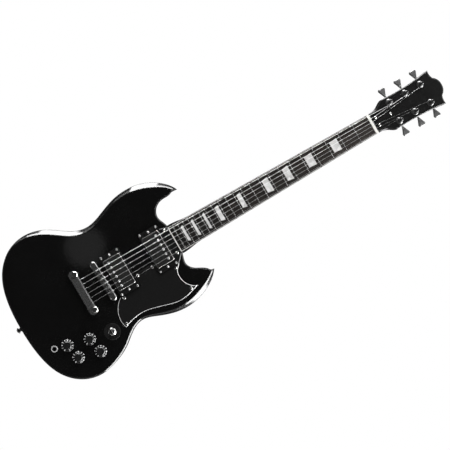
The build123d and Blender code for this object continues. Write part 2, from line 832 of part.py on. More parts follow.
def pickup_ring(station):
    """Sloped frame on the body, with a window for the cover and pockets for the legs and springs."""
    top = pickup_plane(station).offset(-ring_below_cover)
    with BuildPart(mode=Mode.PRIVATE) as ring:
        with BuildSketch(front_plane(face)):
            with Locations((0, station)):
                RectangleRounded(ring_length, ring_width, ring_round)
                RectangleRounded(cover_length + 2 * free_gap, cover_width + 1.2, 3.5, mode=Mode.SUBTRACT)
        extrude(amount=25)
        split(bisect_by=top, keep=Keep.BOTTOM)
        with BuildSketch(front_plane(face)):
            with Locations((height_screw_span / 2 - 1, station), (1 - height_screw_span / 2, station)):
                Rectangle(8, 12)
        extrude(amount=point_on(top, 0, 0).Y * -1 - face - 2.2, mode=Mode.SUBTRACT)
        with BuildSketch(top):
            with Locations((-height_screw_span / 2, 0), (height_screw_span / 2, 0)):
                Circle(height_screw_shank / 2 + 0.15)
            with GridLocations(*ring_screw_span, 2, 2):
                Circle(ring_screw_shank / 2 + seat_gap)
        extrude(amount=-25, mode=Mode.SUBTRACT)
    return ring.part


def pickup_cover(plane):
    with BuildPart(mode=Mode.PRIVATE) as cover:
        with BuildSketch(plane.offset(-cover_height)):
            RectangleRounded(cover_length, cover_width, 3.2)
        extrude(amount=cover_height)
        fillet(cover.faces().sort_by(Axis.Y)[0].edges(), 1.6)
        with BuildSketch(plane.offset(-cover_height)):
            RectangleRounded(cover_length - 2 * cover_wall, cover_width - 2 * cover_wall, 3.2 - cover_wall)
        extrude(amount=cover_height - 2 * cover_wall, mode=Mode.SUBTRACT)
        with BuildSketch(plane):
            with Locations((0, plane_row(plane))):
                with GridLocations(pole_pitch, 0, 6, 1):
                    Circle(pole_head_diameter / 2 + seat_gap)
        extrude(amount=-3, mode=Mode.SUBTRACT)
    return cover.part


def plane_row(plane):
    """The pole screws face away from the other pickup: towards the bridge on one, the neck on the other."""
    middle = (pickup_stations["bridge"] + pickup_stations["neck"]) / 2
    return pole_offset if plane.origin.Z > middle else -pole_offset


pickup_planes = {name: pickup_plane(station) for name, station in pickup_stations.items()}
for name, station in pickup_stations.items():
    with BuildPart() as ring:
        add(pickup_ring(station))
    finish(ring, f"{name}_pickup_ring")
    with BuildPart() as cover:
        add(pickup_cover(pickup_planes[name]))
    finish(cover, f"{name}_pickup_cover")

with BuildPart() as pickup_bobbins:
    for plane in pickup_planes.values():
        for row in (-pole_offset, pole_offset):
            with BuildSketch(plane.offset(-2 * cover_wall - 0.2)):
                with Locations((0, row)):
                    SlotOverall(cover_length - 4, 2 * pole_offset - 2)
                    with GridLocations(pole_pitch, 0, 6, 1):
                        Circle(pole_head_diameter / 2 + seat_gap, mode=Mode.SUBTRACT)
            extrude(amount=-bobbin_height)
finish(pickup_bobbins, "pickup_bobbins")

with BuildPart() as pickup_baseplates:
    for plane in pickup_planes.values():
        with BuildSketch(plane.offset(-cover_height)):
            RectangleRounded(cover_length, cover_width, 3)
            Rectangle(height_screw_span + 7, 10)
            with Locations((-height_screw_span / 2, 0), (height_screw_span / 2, 0)):
                Circle(height_screw_shank / 2 + seat_gap, mode=Mode.SUBTRACT)
            with Locations((0, plane_row(plane))):
                with GridLocations(pole_pitch, 0, 6, 1):
                    Circle(1.5 + seat_gap, mode=Mode.SUBTRACT)
        extrude(amount=-plate_thickness)
finish(pickup_baseplates, "pickup_baseplates")

magnet_room = cover_height - 2 * cover_wall - 0.2 - bobbin_height
with BuildPart() as pickup_magnets:
    for plane in pickup_planes.values():
        with BuildSketch(plane.offset(-cover_height)):
            Rectangle(cover_length - 8, 2 * pole_offset - 2 * 1.5 - 1)
        extrude(amount=magnet_room)
finish(pickup_magnets, "pickup_magnets")

with BuildPart() as pickup_pole_screws:
    for plane in pickup_planes.values():
        for column in range(6):
            spot = spot_plane(plane, (column - 2.5) * pole_pitch, plane_row(plane), 0.4)
            add(turned(spot, [(0, -18), (1.5, -18), (1.5, -2.2), (pole_head_diameter / 2, -2.2),
                              (pole_head_diameter / 2, -0.5), (pole_head_diameter / 2 - 0.5, 0), (0, 0)]))
finish(pickup_pole_screws, "pickup_pole_screws")

with BuildPart() as pickup_height_screws:
    for plane in pickup_planes.values():
        for side in (-1, 1):
            spot = spot_plane(plane, side * height_screw_span / 2, 0, -ring_below_cover)
            add(screw(spot, 4.6, 1.8, height_screw_shank, cover_height))
finish(pickup_height_screws, "pickup_height_screws")

with BuildPart() as pickup_springs:
    for plane in pickup_planes.values():
        for side in (-1, 1):
            spot = spot_plane(plane, side * height_screw_span / 2, 0)
            add(tube(spot, spring_outer, spring_inner, -cover_height, -ring_below_cover - 2.4))
finish(pickup_springs, "pickup_springs")

with BuildPart() as pickup_ring_screws:
    for name, plane in pickup_planes.items():
        for side in (-1, 1):
            for end in (-1, 1):
                x, z = side * ring_screw_span[0] / 2, end * ring_screw_span[1] / 2
                spot = spot_plane(plane, x, z, -ring_below_cover)
                depth = ring_screw_depth - spot.origin.Y - face
                add(screw(spot, 4.6, 1.5, ring_screw_shank, depth))
finish(pickup_ring_screws, "pickup_ring_screws")

# ---------------------------------------------------------------- bridge
saddle_steps = [-1.6, -0.7, 0.2, -1.1, -0.2, 0.7]
saddle_length = 5.0
saddle_shoulder = 4.4
saddle_screw_radius = 1.2
slot_width = saddle_width + 0.2
slot_depth = 5.4
bridge_top = bridge_base_height + bridge_height
screw_rise = 2.7


def saddle_place(index):
    """Local (across, along) of a saddle's ridge on the bridge."""
    return string_x(index, bridge_z) / cos(radians(bridge_slant)), saddle_steps[index]


with BuildPart() as bridge_base:
    with BuildSketch(bridge_plane.offset(bridge_base_height)):
        RectangleRounded(bridge_length, bridge_width, bridge_width / 2 - 0.1)
    extrude(amount=bridge_height)
    chamfer(bridge_base.faces().sort_by(Axis.Y)[0].edges(), 1.0)
    with BuildSketch(bridge_plane.offset(bridge_top)):
        for index in range(6):
            with Locations((saddle_place(index)[0], 0)):
                Rectangle(slot_width, saddle_travel)
    extrude(amount=-slot_depth, mode=Mode.SUBTRACT)
    with BuildSketch(bridge_plane.offset(bridge_top)):
        with Locations((-bridge_post_span / 2, 0), (bridge_post_span / 2, 0)):
            Circle(bridge_post_diameter / 2 + seat_gap)
    extrude(amount=-bridge_height, mode=Mode.SUBTRACT)
    for index in range(6):
        spot = point_on(bridge_plane, saddle_place(index)[0], 0, bridge_top - screw_rise)
        with BuildSketch(Plane(origin=spot, x_dir=bridge_plane.x_dir, z_dir=bridge_plane.y_dir)):
            Circle(saddle_screw_radius + seat_gap)
        extrude(amount=bridge_width, mode=Mode.SUBTRACT)
finish(bridge_base, "bridge_base")

with BuildPart() as bridge_saddles:
    for index in range(6):
        across, along = saddle_place(index)
        ridge = point_on(bridge_plane, across, along)
        top = string_height(ridge.Z) - 0.02
        low = bridge_top - slot_depth
        side = Plane(origin=point_on(bridge_plane, across, along), x_dir=bridge_plane.y_dir,
                     z_dir=bridge_plane.x_dir)
        with BuildSketch(side):
            with BuildLine():
                half = saddle_length / 2
                shoulder = low + saddle_shoulder
                Polyline((-half, low), (half, low), (half, shoulder), (0.5, top), (-0.5, top),
                         (-half, shoulder), close=True)
            make_face()
        extrude(amount=saddle_width / 2, both=True)
        spot = point_on(bridge_plane, across, -bridge_width, bridge_top - screw_rise)
        with BuildSketch(Plane(origin=spot, x_dir=bridge_plane.x_dir, z_dir=bridge_plane.y_dir)):
            Circle(saddle_screw_radius + seat_gap)
        extrude(amount=2 * bridge_width, mode=Mode.SUBTRACT)
finish(bridge_saddles, "bridge_saddles")

with BuildPart() as bridge_adjusting_screws:
    for index in range(6):
        across, along = saddle_place(index)
        spot = Plane(origin=point_on(bridge_plane, across, bridge_width / 2, bridge_top - screw_rise),
                     x_dir=bridge_plane.x_dir, z_dir=bridge_plane.y_dir)
        reach = bridge_width / 2 + saddle_travel / 2 - 0.1
        radius = saddle_screw_radius
        add(turned(spot, [(0, -reach), (radius, -reach), (radius, 0), (2.1, 0), (2.1, 0.9), (1.4, 1.5),
                          (0, 1.5)]))
finish(bridge_adjusting_screws, "bridge_adjusting_screws")

with BuildPart() as bridge_posts:
    for side in (-1, 1):
        spot = spot_plane(bridge_plane, side * bridge_post_span / 2, 0, bridge_base_height)
        radius = bridge_post_diameter / 2
        wheel = thumbwheel_diameter / 2
        low = face - 19 - bridge_base_height
        add(turned(spot, [(0, low), (radius, low), (radius, -thumbwheel_thickness),
                          (wheel, -thumbwheel_thickness), (wheel, 0), (radius, 0), (radius, bridge_height),
                          (0, bridge_height)]))
finish(bridge_posts, "bridge_posts")

# ---------------------------------------------------------------- tailpiece
lug_radius = 9.0
lug_thickness = 6.6
lug_low = face + tail_clearance + 1.6
tail_low = face + tail_clearance
bar_length = tail_stud_span - 2 * stud_head_diameter / 2 - 1
string_rise = tail_low + tail_height * 0.5
stud_spots = [(side * tail_stud_span / 2, tail_z + tail_stud_offset) for side in (-1, 1)]

with BuildPart() as tailpiece_bar:
    with BuildSketch(Plane(origin=(0, 0, 0), x_dir=(0, 0, 1), z_dir=(1, 0, 0))):
        with Locations((tail_z, tail_low + tail_height / 2)):
            RectangleRounded(tail_width, tail_height, 5.2)
    extrude(amount=bar_length / 2, both=True)
    with BuildSketch(front_plane(lug_low)):
        for side in (-1, 1):
            with Locations((side * (tail_length / 2 - lug_radius), tail_z)):
                Circle(lug_radius)
            with Locations((side * (tail_length / 2 - 1.5 * lug_radius), tail_z)):
                Rectangle(lug_radius, 2 * lug_radius)
    extrude(amount=lug_thickness)
    with BuildSketch(front_plane(lug_low)):
        for x, z in stud_spots:
            with Locations((x, z)):
                Circle(stud_diameter / 2 + seat_gap)
            with Locations((x, z + lug_radius)):
                Rectangle(stud_diameter + 2 * seat_gap, 2 * lug_radius)
    extrude(amount=lug_thickness, mode=Mode.SUBTRACT)
    with BuildSketch(Plane.XY.offset(tail_z - tail_width / 2 - 1)):
        for index in range(6):
            with Locations((string_x(index, tail_z), -string_rise)):
                Circle(1.0)
    extrude(amount=tail_width + 2, mode=Mode.SUBTRACT)
    with BuildSketch(Plane.XY.offset(tail_z - tail_width / 2 - 1)):
        for index in range(6):
            with Locations((string_x(index, tail_z), -string_rise)):
                Circle(ball_diameter / 2 + 0.2)
    extrude(amount=6, mode=Mode.SUBTRACT)
finish(tailpiece_bar, "tailpiece_bar")

with BuildPart() as string_ball_ends:
    for index in range(6):
        with BuildSketch(Plane.XY.offset(tail_z - tail_width / 2 + 1.8)):
            with Locations((string_x(index, tail_z), -string_rise)):
                Circle(ball_diameter / 2)
        extrude(amount=3.2)
finish(string_ball_ends, "string_ball_ends")

with BuildPart() as tailpiece_studs:
    for x, z in stud_spots:
        spot = spot_plane(front_plane(lug_low), x, z)
        high = lug_thickness
        head = stud_head_diameter / 2
        thread = stud_thread_diameter / 2
        stem = stud_diameter / 2
        flange = -1.4
        low = face + 2 - bushing_depth - lug_low
        add(turned(spot, [(0, low), (thread, low), (thread, flange), (5.2, flange), (5.2, 0), (stem, 0),
                          (stem, high), (head, high), (head, high + 2.4), (head - 1, high + 3.4),
                          (0, high + 3.4)]))
        slot = Plane(origin=point_on(spot, 0, 0, high + 3.4), x_dir=spot.x_dir, z_dir=spot.z_dir)
        with BuildSketch(slot):
            Rectangle(2 * head + 1, 1.6)
        extrude(amount=-1.6, mode=Mode.SUBTRACT)
finish(tailpiece_studs, "tailpiece_studs")

with BuildPart() as tailpiece_bushings:
    for x, z in stud_spots:
        spot = spot_plane(front_plane(face), x, z)
        outer = bushing_diameter / 2
        bore = stud_thread_diameter / 2 + seat_gap
        add(turned(spot, [(bore, -bushing_depth), (outer, -bushing_depth), (outer, 0), (outer + 1.4, 0),
                          (outer + 1.4, 0.9), (bore, 0.9)]))
finish(tailpiece_bushings, "tailpiece_bushings")

# ---------------------------------------------------------------- controls
knob_lift = 1.0             # gap between a knob and the body
pot_nut_height = 2.2
pot_nut_across = 14.0
pot_thread_top = 4.0        # bushing above the face
shaft_top = 13.0            # shaft above the face
knob_hollow = 9.0


def hex_nut(plane, across, height, bore):
    with BuildPart(mode=Mode.PRIVATE) as piece:
        with BuildSketch(plane):
            RegularPolygon(across / 2, 6, major_radius=False)
            Circle(bore, mode=Mode.SUBTRACT)
        extrude(amount=height)
    return piece.part


pot_bore = pot_shaft_diameter / 2 + running_gap
with BuildPart() as potentiometers:
    for x, z in pot_places.values():
        spot = spot_plane(front_plane(cavity_floor), x, z)
        bushing = pot_bushing_diameter / 2
        can = pot_body_diameter / 2
        rise = top_wood + pot_thread_top
        add(turned(spot, [(0, -pot_body_depth), (can, -pot_body_depth), (can, -0.1), (bushing, -0.1),
                          (bushing, rise), (pot_bore, rise), (pot_bore, -6), (0, -6)]))
        top = spot_plane(front_plane(face), x, z)
        add(hex_nut(top, pot_nut_across, pot_nut_height, bushing + seat_gap))
finish(potentiometers, "potentiometers")

knob_profile = [
    (knob_diameter / 2 - 0.3, 0.0),
    (knob_diameter / 2, 0.4),
    (knob_diameter / 2, 1.6),
]
knob_neck_radius = 9.2
knob_neck_height = 6.4
knob_top_radius = 8.4
for name, (x, z) in pot_places.items():
    spot = spot_plane(front_plane(face + knob_lift), x, z)
    side = Plane(origin=spot.origin, x_dir=spot.x_dir, z_dir=spot.y_dir * -1)
    with BuildPart() as knob:
        # Knob: a skirt that carries the numbers, then a column with a shallow dish on top.
        with BuildSketch(side):
            with BuildLine():
                skirt = knob_profile
                hub = pot_shaft_diameter / 2
                shaft_end_height = shaft_top - knob_lift
                Polyline((hub, 4.6), (knob_hollow, 4.6), (knob_hollow + 0.6, 0), *skirt)
                Spline(skirt[2], (knob_neck_radius + 0.9, 4.4), (knob_neck_radius, knob_neck_height),
                       tangents=((-1, 0.45), (-0.1, 1)))
                Polyline((knob_neck_radius, knob_neck_height), (knob_top_radius, knob_height - 0.8),
                         (knob_top_radius - 0.8, knob_height), (knob_top_radius - 1.8, knob_height))
                Spline((knob_top_radius - 1.8, knob_height), (0, knob_height - 0.7),
                       tangents=((-1, -0.25), (-1, 0)))
                Polyline((0, knob_height - 0.7), (0, shaft_end_height), (hub, shaft_end_height), (hub, 4.6))
            make_face()
        revolve(axis=Axis(spot.origin, spot.z_dir))
        add(turned(spot, [(0, -knob_lift - top_wood - 5), (hub, -knob_lift - top_wood - 5),
                          (hub, shaft_end_height - 0.02), (0, shaft_end_height - 0.02)]))
    finish(knob, name)

switch_bore = 3.4
pivot_radius = 0.9
pivot_reach = 5.0           # half the pivot pin's length
ball_height = -0.5
switch_top = 5.0
ball_radius = 2.8
switch_spot = spot_plane(front_plane(face), *switch_place)
switch_pivot = Plane(origin=point_on(switch_spot, 0, 0, ball_height), x_dir=(0, 0, 1), z_dir=(1, 0, 0))
with BuildPart() as switch_body:
    low = -top_wood - 8
    add(turned(switch_spot, [(0, low), (switch_bushing, low), (switch_bushing, switch_top - 0.8),
                             (switch_bushing - 0.8, switch_top), (switch_bore, switch_top),
                             (switch_bore, -5), (0, -5)]))
    with BuildSketch(spot_plane(front_plane(cavity_floor), *switch_place)):
        Rectangle(16, 22)
        Circle(switch_bushing, mode=Mode.SUBTRACT)
    extrude(amount=-8)
    with BuildSketch(switch_pivot):
        Circle(pivot_radius + running_gap)
    extrude(amount=pivot_reach + free_gap, both=True, mode=Mode.SUBTRACT)
finish(switch_body, "switch_body")

with BuildPart() as switch_washer:
    outer = switch_washer_diameter / 2
    add(turned(switch_spot, [(switch_bushing + seat_gap, 0), (outer, 0), (outer, 0.8), (outer - 0.8, 1.4),
                             (switch_bushing + seat_gap, 1.4)]))
finish(switch_washer, "switch_washer")

with BuildPart() as switch_nut:
    add(turned(spot_plane(switch_spot, 0, 0, 1.4), [(switch_bushing + seat_gap, 0), (7.6, 0), (7.6, 1.8),
                                                    (6.8, 2.6), (switch_bushing + seat_gap, 2.6)]))
finish(switch_nut, "switch_nut")

lever_shaft = 1.5
lever_tip_low = 9.0
with BuildPart() as switch_lever:
    spot = switch_spot
    with BuildSketch(Plane(origin=spot.origin, x_dir=spot.x_dir, z_dir=spot.y_dir * -1)):
        with BuildLine():
            low = ball_height - ball_radius
            Line((0, low), (0, 22.5))
            ThreePointArc((0, 22.5), (2.6, 21.2), (3.6, 18.6))
            Spline((3.6, 18.6), (2.5, lever_tip_low), tangents=((0, -1), (-0.2, -1)))
            Polyline((2.5, lever_tip_low), (lever_shaft, lever_tip_low),
                     (lever_shaft, ball_height + (ball_radius**2 - lever_shaft**2) ** 0.5))
            ThreePointArc((lever_shaft, ball_height + (ball_radius**2 - lever_shaft**2) ** 0.5),
                          (ball_radius, ball_height), (0, low))
        make_face()
    revolve(axis=Axis(spot.origin, spot.z_dir))
    with BuildSketch(switch_pivot):
        Circle(pivot_radius)
    extrude(amount=pivot_reach, both=True)
finish(switch_lever, "switch_lever")

jack_flange = 8.0
jack_depth = 18.0
jack_spot = spot_plane(front_plane(face), *jack_place)
with BuildPart() as jack_body:
    outer = jack_bushing_diameter / 2
    bore = jack_bore / 2
    add(turned(jack_spot, [(bore, -jack_depth), (jack_flange, -jack_depth), (jack_flange, -top_wood),
                           (outer, -top_wood), (outer, 3.0), (bore, 3.0)]))
finish(jack_body, "jack_body")

with BuildPart() as jack_nut:
    add(tube(jack_spot, 6.8, outer + seat_gap, 0, 0.6))
    add(hex_nut(spot_plane(jack_spot, 0, 0, 0.6), 12.0, 2.0, outer + seat_gap))
finish(jack_nut, "jack_nut")

# ---------------------------------------------------------------- strings
winding_height = 7.0        # middle of the turns on a post, over the veneer
winding_pitch = 1.15
string_posts = [(-1, 0), (-1, 1), (-1, 2), (1, 2), (1, 1), (1, 0)]


def post_spot(side, row):
    return spot_plane(head_plane, side * tuner_spread / 2, tuner_stations[row])


def string_route(index):
    """Corners of a string's middle line: ball end, bridge saddle, nut, and its turns on the post."""
    radius = string_gauges[index] / 2
    across, along = saddle_place(index)
    ridge = point_on(bridge_plane, across, along)
    nut_back = point_on(neck_plane, string_x(index, nut_top.Z), nut_station + nut_length / 2,
                        board_thickness + nut_string_height + radius)
    side, row = string_posts[index]
    gauge = string_gauges[index]
    reach = post_diameter / 2 + gauge + free_gap + radius
    end = point_on(head_plane, side * (tuner_spread / 2 - reach), tuner_stations[row] - 1.0,
                   overlay_thickness + winding_height)
    return [
        Vector(string_x(index, tail_z), -string_rise, tail_z - tail_width / 2 + 5.1),
        Vector(string_x(index, tail_z), -string_rise, tail_z + tail_width / 2),
        Vector(ridge.X, -string_height(ridge.Z) - radius, ridge.Z),
        nut_back,
        end,
    ]


def string_solid(index):
    route = string_route(index)
    with BuildPart(mode=Mode.PRIVATE) as wire:
        with BuildLine(mode=Mode.PRIVATE) as path:
            FilletPolyline(*route, radius=3.0)
        with BuildSketch(Plane(origin=route[0], z_dir=(route[1] - route[0]).normalized())):
            Circle(string_gauges[index] / 2)
        sweep(path=path.line)
    return wire.part


with BuildPart() as wound_strings:
    for index in range(wound_count):
        add(string_solid(index))
finish(wound_strings, "wound_strings")
with BuildPart() as plain_strings:
    for index in range(wound_count, len(string_gauges)):
        add(string_solid(index))
finish(plain_strings, "plain_strings")

# ---------------------------------------------------------------- nut
nut_crest = point_on(neck_plane, 0, nut_station + nut_length / 2, board_thickness)
nut_front = nut_crest - along_neck * nut_length
slot_height = 4.0
with BuildPart() as nut:
    with BuildSketch(neck_plane):
        with Locations((0, nut_station + nut_length / 2)):
            Rectangle(nut_width, nut_length)
    extrude(amount=board_thickness + nut_height)
    fillet(nut.edges().filter_by(Axis.X).sort_by(Axis.Y)[:1], 1.5)
    # Slots, open at the top: level as far as the crest, then falling away with the strings.
    for start, up_neck in ((nut_front, along_neck), (nut_crest, head_plane.y_dir)):
        with BuildSketch(Plane(origin=start, x_dir=(1, 0, 0), z_dir=up_neck * -1)):
            for index, gauge in enumerate(string_gauges):
                with Locations((string_x(index, nut_top.Z), nut_string_height + (gauge + slot_height) / 2)):
                    Rectangle(gauge + 2 * seat_gap, slot_height)
        extrude(amount=-nut_length, mode=Mode.SUBTRACT)
    for index in range(len(string_gauges)):
        add(string_solid(index), mode=Mode.SUBTRACT)
finish(nut, "nut")

# ---------------------------------------------------------------- tuners
wheel_radius = 5.0
wheel_thickness = 3.0
drum_radius = 2.6
drum_length = 10.0
inner_gap = 0.4
post_waist = 0.5
ear_radius = 3.4
ear_thickness = 1.4
housing_back = -head_thickness - housing_size[2]
worm_level = -head_thickness - worm_depth
housing_centre = worm_offset / 2
post_names = ["bass_outer", "bass_middle", "bass_inner", "treble_inner", "treble_middle", "treble_outer"]

with BuildPart() as tuner_housings:
    for side, row in string_posts:
        spot = post_spot(side, row)
        with BuildSketch(spot_plane(spot, 0, housing_centre, -head_thickness)):
            RectangleRounded(housing_size[0], housing_size[1], 3.0)
        extrude(amount=-housing_size[2])
        back = point_on(spot, 0, housing_centre, housing_back)
        nearest = tuner_housings.faces().sort_by(lambda found: (found.center() - back).length)[0]
        chamfer(nearest.edges(), 1.6)
        ear = spot_plane(spot, -side * ear_reach, housing_centre, -head_thickness)
        with BuildSketch(ear):
            Circle(ear_radius)
            Circle(tuner_screw_diameter / 2 + seat_gap, mode=Mode.SUBTRACT)
        extrude(amount=-ear_thickness)
        # Room for the worm wheel and the worm, with the bearings of both shafts.
        with BuildSketch(spot_plane(spot, 0, 0, -head_thickness)):
            Circle(post_diameter / 2 + running_gap)
        extrude(amount=-(worm_depth + wheel_thickness), mode=Mode.SUBTRACT)
        with BuildSketch(spot_plane(spot, 0, 0, worm_level + wheel_thickness / 2 + inner_gap)):
            Circle(wheel_radius + inner_gap)
        extrude(amount=-(wheel_thickness + 2 * inner_gap), mode=Mode.SUBTRACT)
        worm = Plane(origin=point_on(spot, 0, worm_offset, worm_level), x_dir=head_plane.y_dir,
                     z_dir=(side, 0, 0))
        with BuildSketch(worm.offset(-drum_length / 2 - inner_gap)):
            Circle(drum_radius + inner_gap)
        extrude(amount=drum_length + 2 * inner_gap, mode=Mode.SUBTRACT)
        with BuildSketch(worm):
            Circle(worm_shaft_diameter / 2 + running_gap)
        extrude(amount=housing_size[0], mode=Mode.SUBTRACT)
finish(tuner_housings, "tuner_housings")

with BuildPart() as tuner_bushings:
    for side, row in string_posts:
        outer = tuner_bushing_diameter / 2
        bore = post_diameter / 2 + running_gap
        high = overlay_thickness
        flange = outer + 2.2
        add(turned(post_spot(side, row), [(bore, -8), (outer, -8), (outer, high), (flange, high),
                                          (flange, high + 0.9), (outer + 0.4, high + 2.2),
                                          (bore, high + 2.2)]))
finish(tuner_bushings, "tuner_bushings")

for index, (side, row) in enumerate(string_posts):
    spot = post_spot(side, row)
    gauge = string_gauges[index]
    radius = post_diameter / 2
    high = overlay_thickness + post_height
    with BuildPart() as post:
        wheel_low = worm_level - wheel_thickness / 2
        wheel_high = worm_level + wheel_thickness / 2
        waist = radius - post_waist
        add(turned(spot, [(0, wheel_low), (wheel_radius, wheel_low), (wheel_radius, wheel_high),
                          (radius, wheel_high), (radius, high - 8.5), (waist, high - 7),
                          (waist, high - 3.5), (radius, high - 2), (radius, high - 0.6),
                          (radius - 0.6, high), (0, high)]))
        # Turns of string, one close above another.
        middle = overlay_thickness + winding_height
        turns = 4 if index < wound_count else 6
        pitch = gauge * winding_pitch
        low = middle - turns * pitch / 2
        with BuildSketch(Plane(origin=spot.origin, x_dir=spot.x_dir, z_dir=spot.y_dir * -1)):
            with BuildLine():
                for turn in range(turns):
                    start = low + turn * pitch
                    ThreePointArc((radius + gauge * 0.6, start), (radius + gauge, start + pitch / 2),
                                  (radius + gauge * 0.6, start + pitch))
                seat = radius + 0.02
                high_turn = low + turns * pitch
                Polyline((radius + gauge * 0.6, high_turn), (seat, high_turn), (seat, low),
                         (radius + gauge * 0.6, low))
            make_face()
        revolve(axis=Axis(spot.origin, spot.z_dir), mode=Mode.ADD)
    finish(post, f"tuner_post_{post_names[index]}")

    worm = Plane(origin=point_on(spot, 0, worm_offset, worm_level), x_dir=(side, 0, 0),
                 z_dir=head_plane.z_dir)
    inner = button_reach - button_length - tuner_spread / 2
    shaft = Plane(origin=worm.origin, x_dir=head_plane.y_dir, z_dir=(side, 0, 0))
    with BuildPart() as button:
        # The flat keystone grip, then the shaft with its worm.
        with BuildSketch(worm.offset(-button_thickness / 2)):
            with BuildLine():
                end = inner + button_length
                half = button_height / 2
                Polyline((inner - 0.5, -2.6), (inner - 0.5, 2.6), (inner + 3.5, 4.2), (end - 3.5, half),
                         (end, half - 1.6), (end, 1.6 - half), (end - 3.5, -half), (inner + 3.5, -4.2),
                         close=True)
            make_face()
        extrude(amount=button_thickness)
        rim = button.faces().filter_by(lambda f: abs(f.normal_at().dot(head_plane.z_dir)) > 0.99)
        chamfer(rim.edges(), 0.9)
        drum = drum_length / 2
        rod = worm_shaft_diameter / 2
        add(turned(shaft, [(0, -drum), (drum_radius, -drum), (drum_radius, drum), (rod, drum),
                           (rod, inner - 2.5), (3.1, inner - 2.5), (3.1, inner), (rod, inner),
                           (rod, inner + 2), (0, inner + 2)]))
    finish(button, f"tuner_button_{post_names[index]}")

# ---------------------------------------------------------------- strap buttons and the last screws
button_waist = 3.6
button_base = 5.6


def strap_button(plane):
    half = strap_button_diameter / 2
    high = strap_button_height
    bore = strap_screw_diameter / 2 + seat_gap
    return turned(plane, [(bore, 0), (button_base, 0), (button_base, 1.0), (button_waist, 2.4),
                          (button_waist, high - 3.6), (half, high - 2.2), (half, high - 0.8),
                          (half - 0.8, high), (bore, high)])


end_plane = Plane(origin=(0, 0, 0), x_dir=(1, 0, 0), z_dir=(0, 0, -1))
with BuildPart() as strap_buttons:
    add(strap_button(end_plane))
    add(strap_button(heel_plane))
finish(strap_buttons, "strap_buttons")

with BuildPart() as wood_screws:
    for x, z in guard_screws:
        add(screw(spot_plane(guard_plane, x, z), screw_head_diameter, screw_head_height,
                  screw_shank_diameter, screw_depth))
    for x, z in cavity_screws:
        add(screw(spot_plane(cover_plane, -x, z), screw_head_diameter, screw_head_height,
                  screw_shank_diameter, screw_depth))
    for x, s in truss_cover_screws:
        top = spot_plane(head_plane, x, s, overlay_thickness + guard_thickness)
        add(screw(top, screw_head_diameter - 1, screw_head_height, screw_shank_diameter, screw_depth - 4))
    for side, row in string_posts:
        ear = spot_plane(post_spot(side, row), -side * ear_reach, housing_centre,
                         -head_thickness - ear_thickness)
        flipped = Plane(origin=ear.origin, x_dir=ear.x_dir, z_dir=ear.z_dir * -1)
        add(screw(flipped, 4.4, 1.4, tuner_screw_diameter, 9.0))
    for plane in (end_plane, heel_plane):
        top = spot_plane(plane, 0, 0, strap_button_height)
        add(screw(top, 7.4, 2.2, strap_screw_diameter, strap_screw_depth))
finish(wood_screws, "wood_screws")
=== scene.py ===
"""Looks of the electric guitar: finishes, printed details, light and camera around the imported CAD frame."""
import math

import bmesh
import bpy
from mathutils import Matrix, Vector
from mathutils.bvhtree import BVHTree


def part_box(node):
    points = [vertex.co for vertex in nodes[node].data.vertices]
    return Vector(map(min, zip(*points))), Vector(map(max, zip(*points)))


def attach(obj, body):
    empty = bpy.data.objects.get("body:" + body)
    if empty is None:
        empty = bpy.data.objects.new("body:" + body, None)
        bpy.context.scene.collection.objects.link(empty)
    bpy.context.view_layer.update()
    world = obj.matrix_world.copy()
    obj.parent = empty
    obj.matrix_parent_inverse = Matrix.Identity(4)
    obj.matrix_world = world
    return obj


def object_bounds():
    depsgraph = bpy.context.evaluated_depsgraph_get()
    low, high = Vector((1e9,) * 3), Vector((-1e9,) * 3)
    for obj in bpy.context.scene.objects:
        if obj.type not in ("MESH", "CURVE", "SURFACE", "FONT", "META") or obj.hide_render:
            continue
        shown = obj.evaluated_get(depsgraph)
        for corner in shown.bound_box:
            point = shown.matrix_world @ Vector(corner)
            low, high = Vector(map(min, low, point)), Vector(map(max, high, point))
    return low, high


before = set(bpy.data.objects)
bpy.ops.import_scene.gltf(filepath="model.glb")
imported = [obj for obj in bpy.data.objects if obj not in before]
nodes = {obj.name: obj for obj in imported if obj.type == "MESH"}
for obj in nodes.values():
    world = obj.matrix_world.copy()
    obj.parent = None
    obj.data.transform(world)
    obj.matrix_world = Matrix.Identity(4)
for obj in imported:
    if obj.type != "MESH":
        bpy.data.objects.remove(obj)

cad_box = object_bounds()
MM = 0.001
scene = bpy.context.scene

# ---------------------------------------------------------------- the picture's directions
NECK_RISE = math.radians(30.289)     # the neck's climb across the picture
PICTURE_RIGHT = Vector((math.sin(NECK_RISE), 0.0, math.cos(NECK_RISE)))
PICTURE_UP = Vector((-math.cos(NECK_RISE), 0.0, math.sin(NECK_RISE)))
FRONT = Vector((0.0, -1.0, 0.0))
HEAD_END = Vector((0.0, 0.0, 1.0))
BASS_SIDE = Vector((-1.0, 0.0, 0.0))


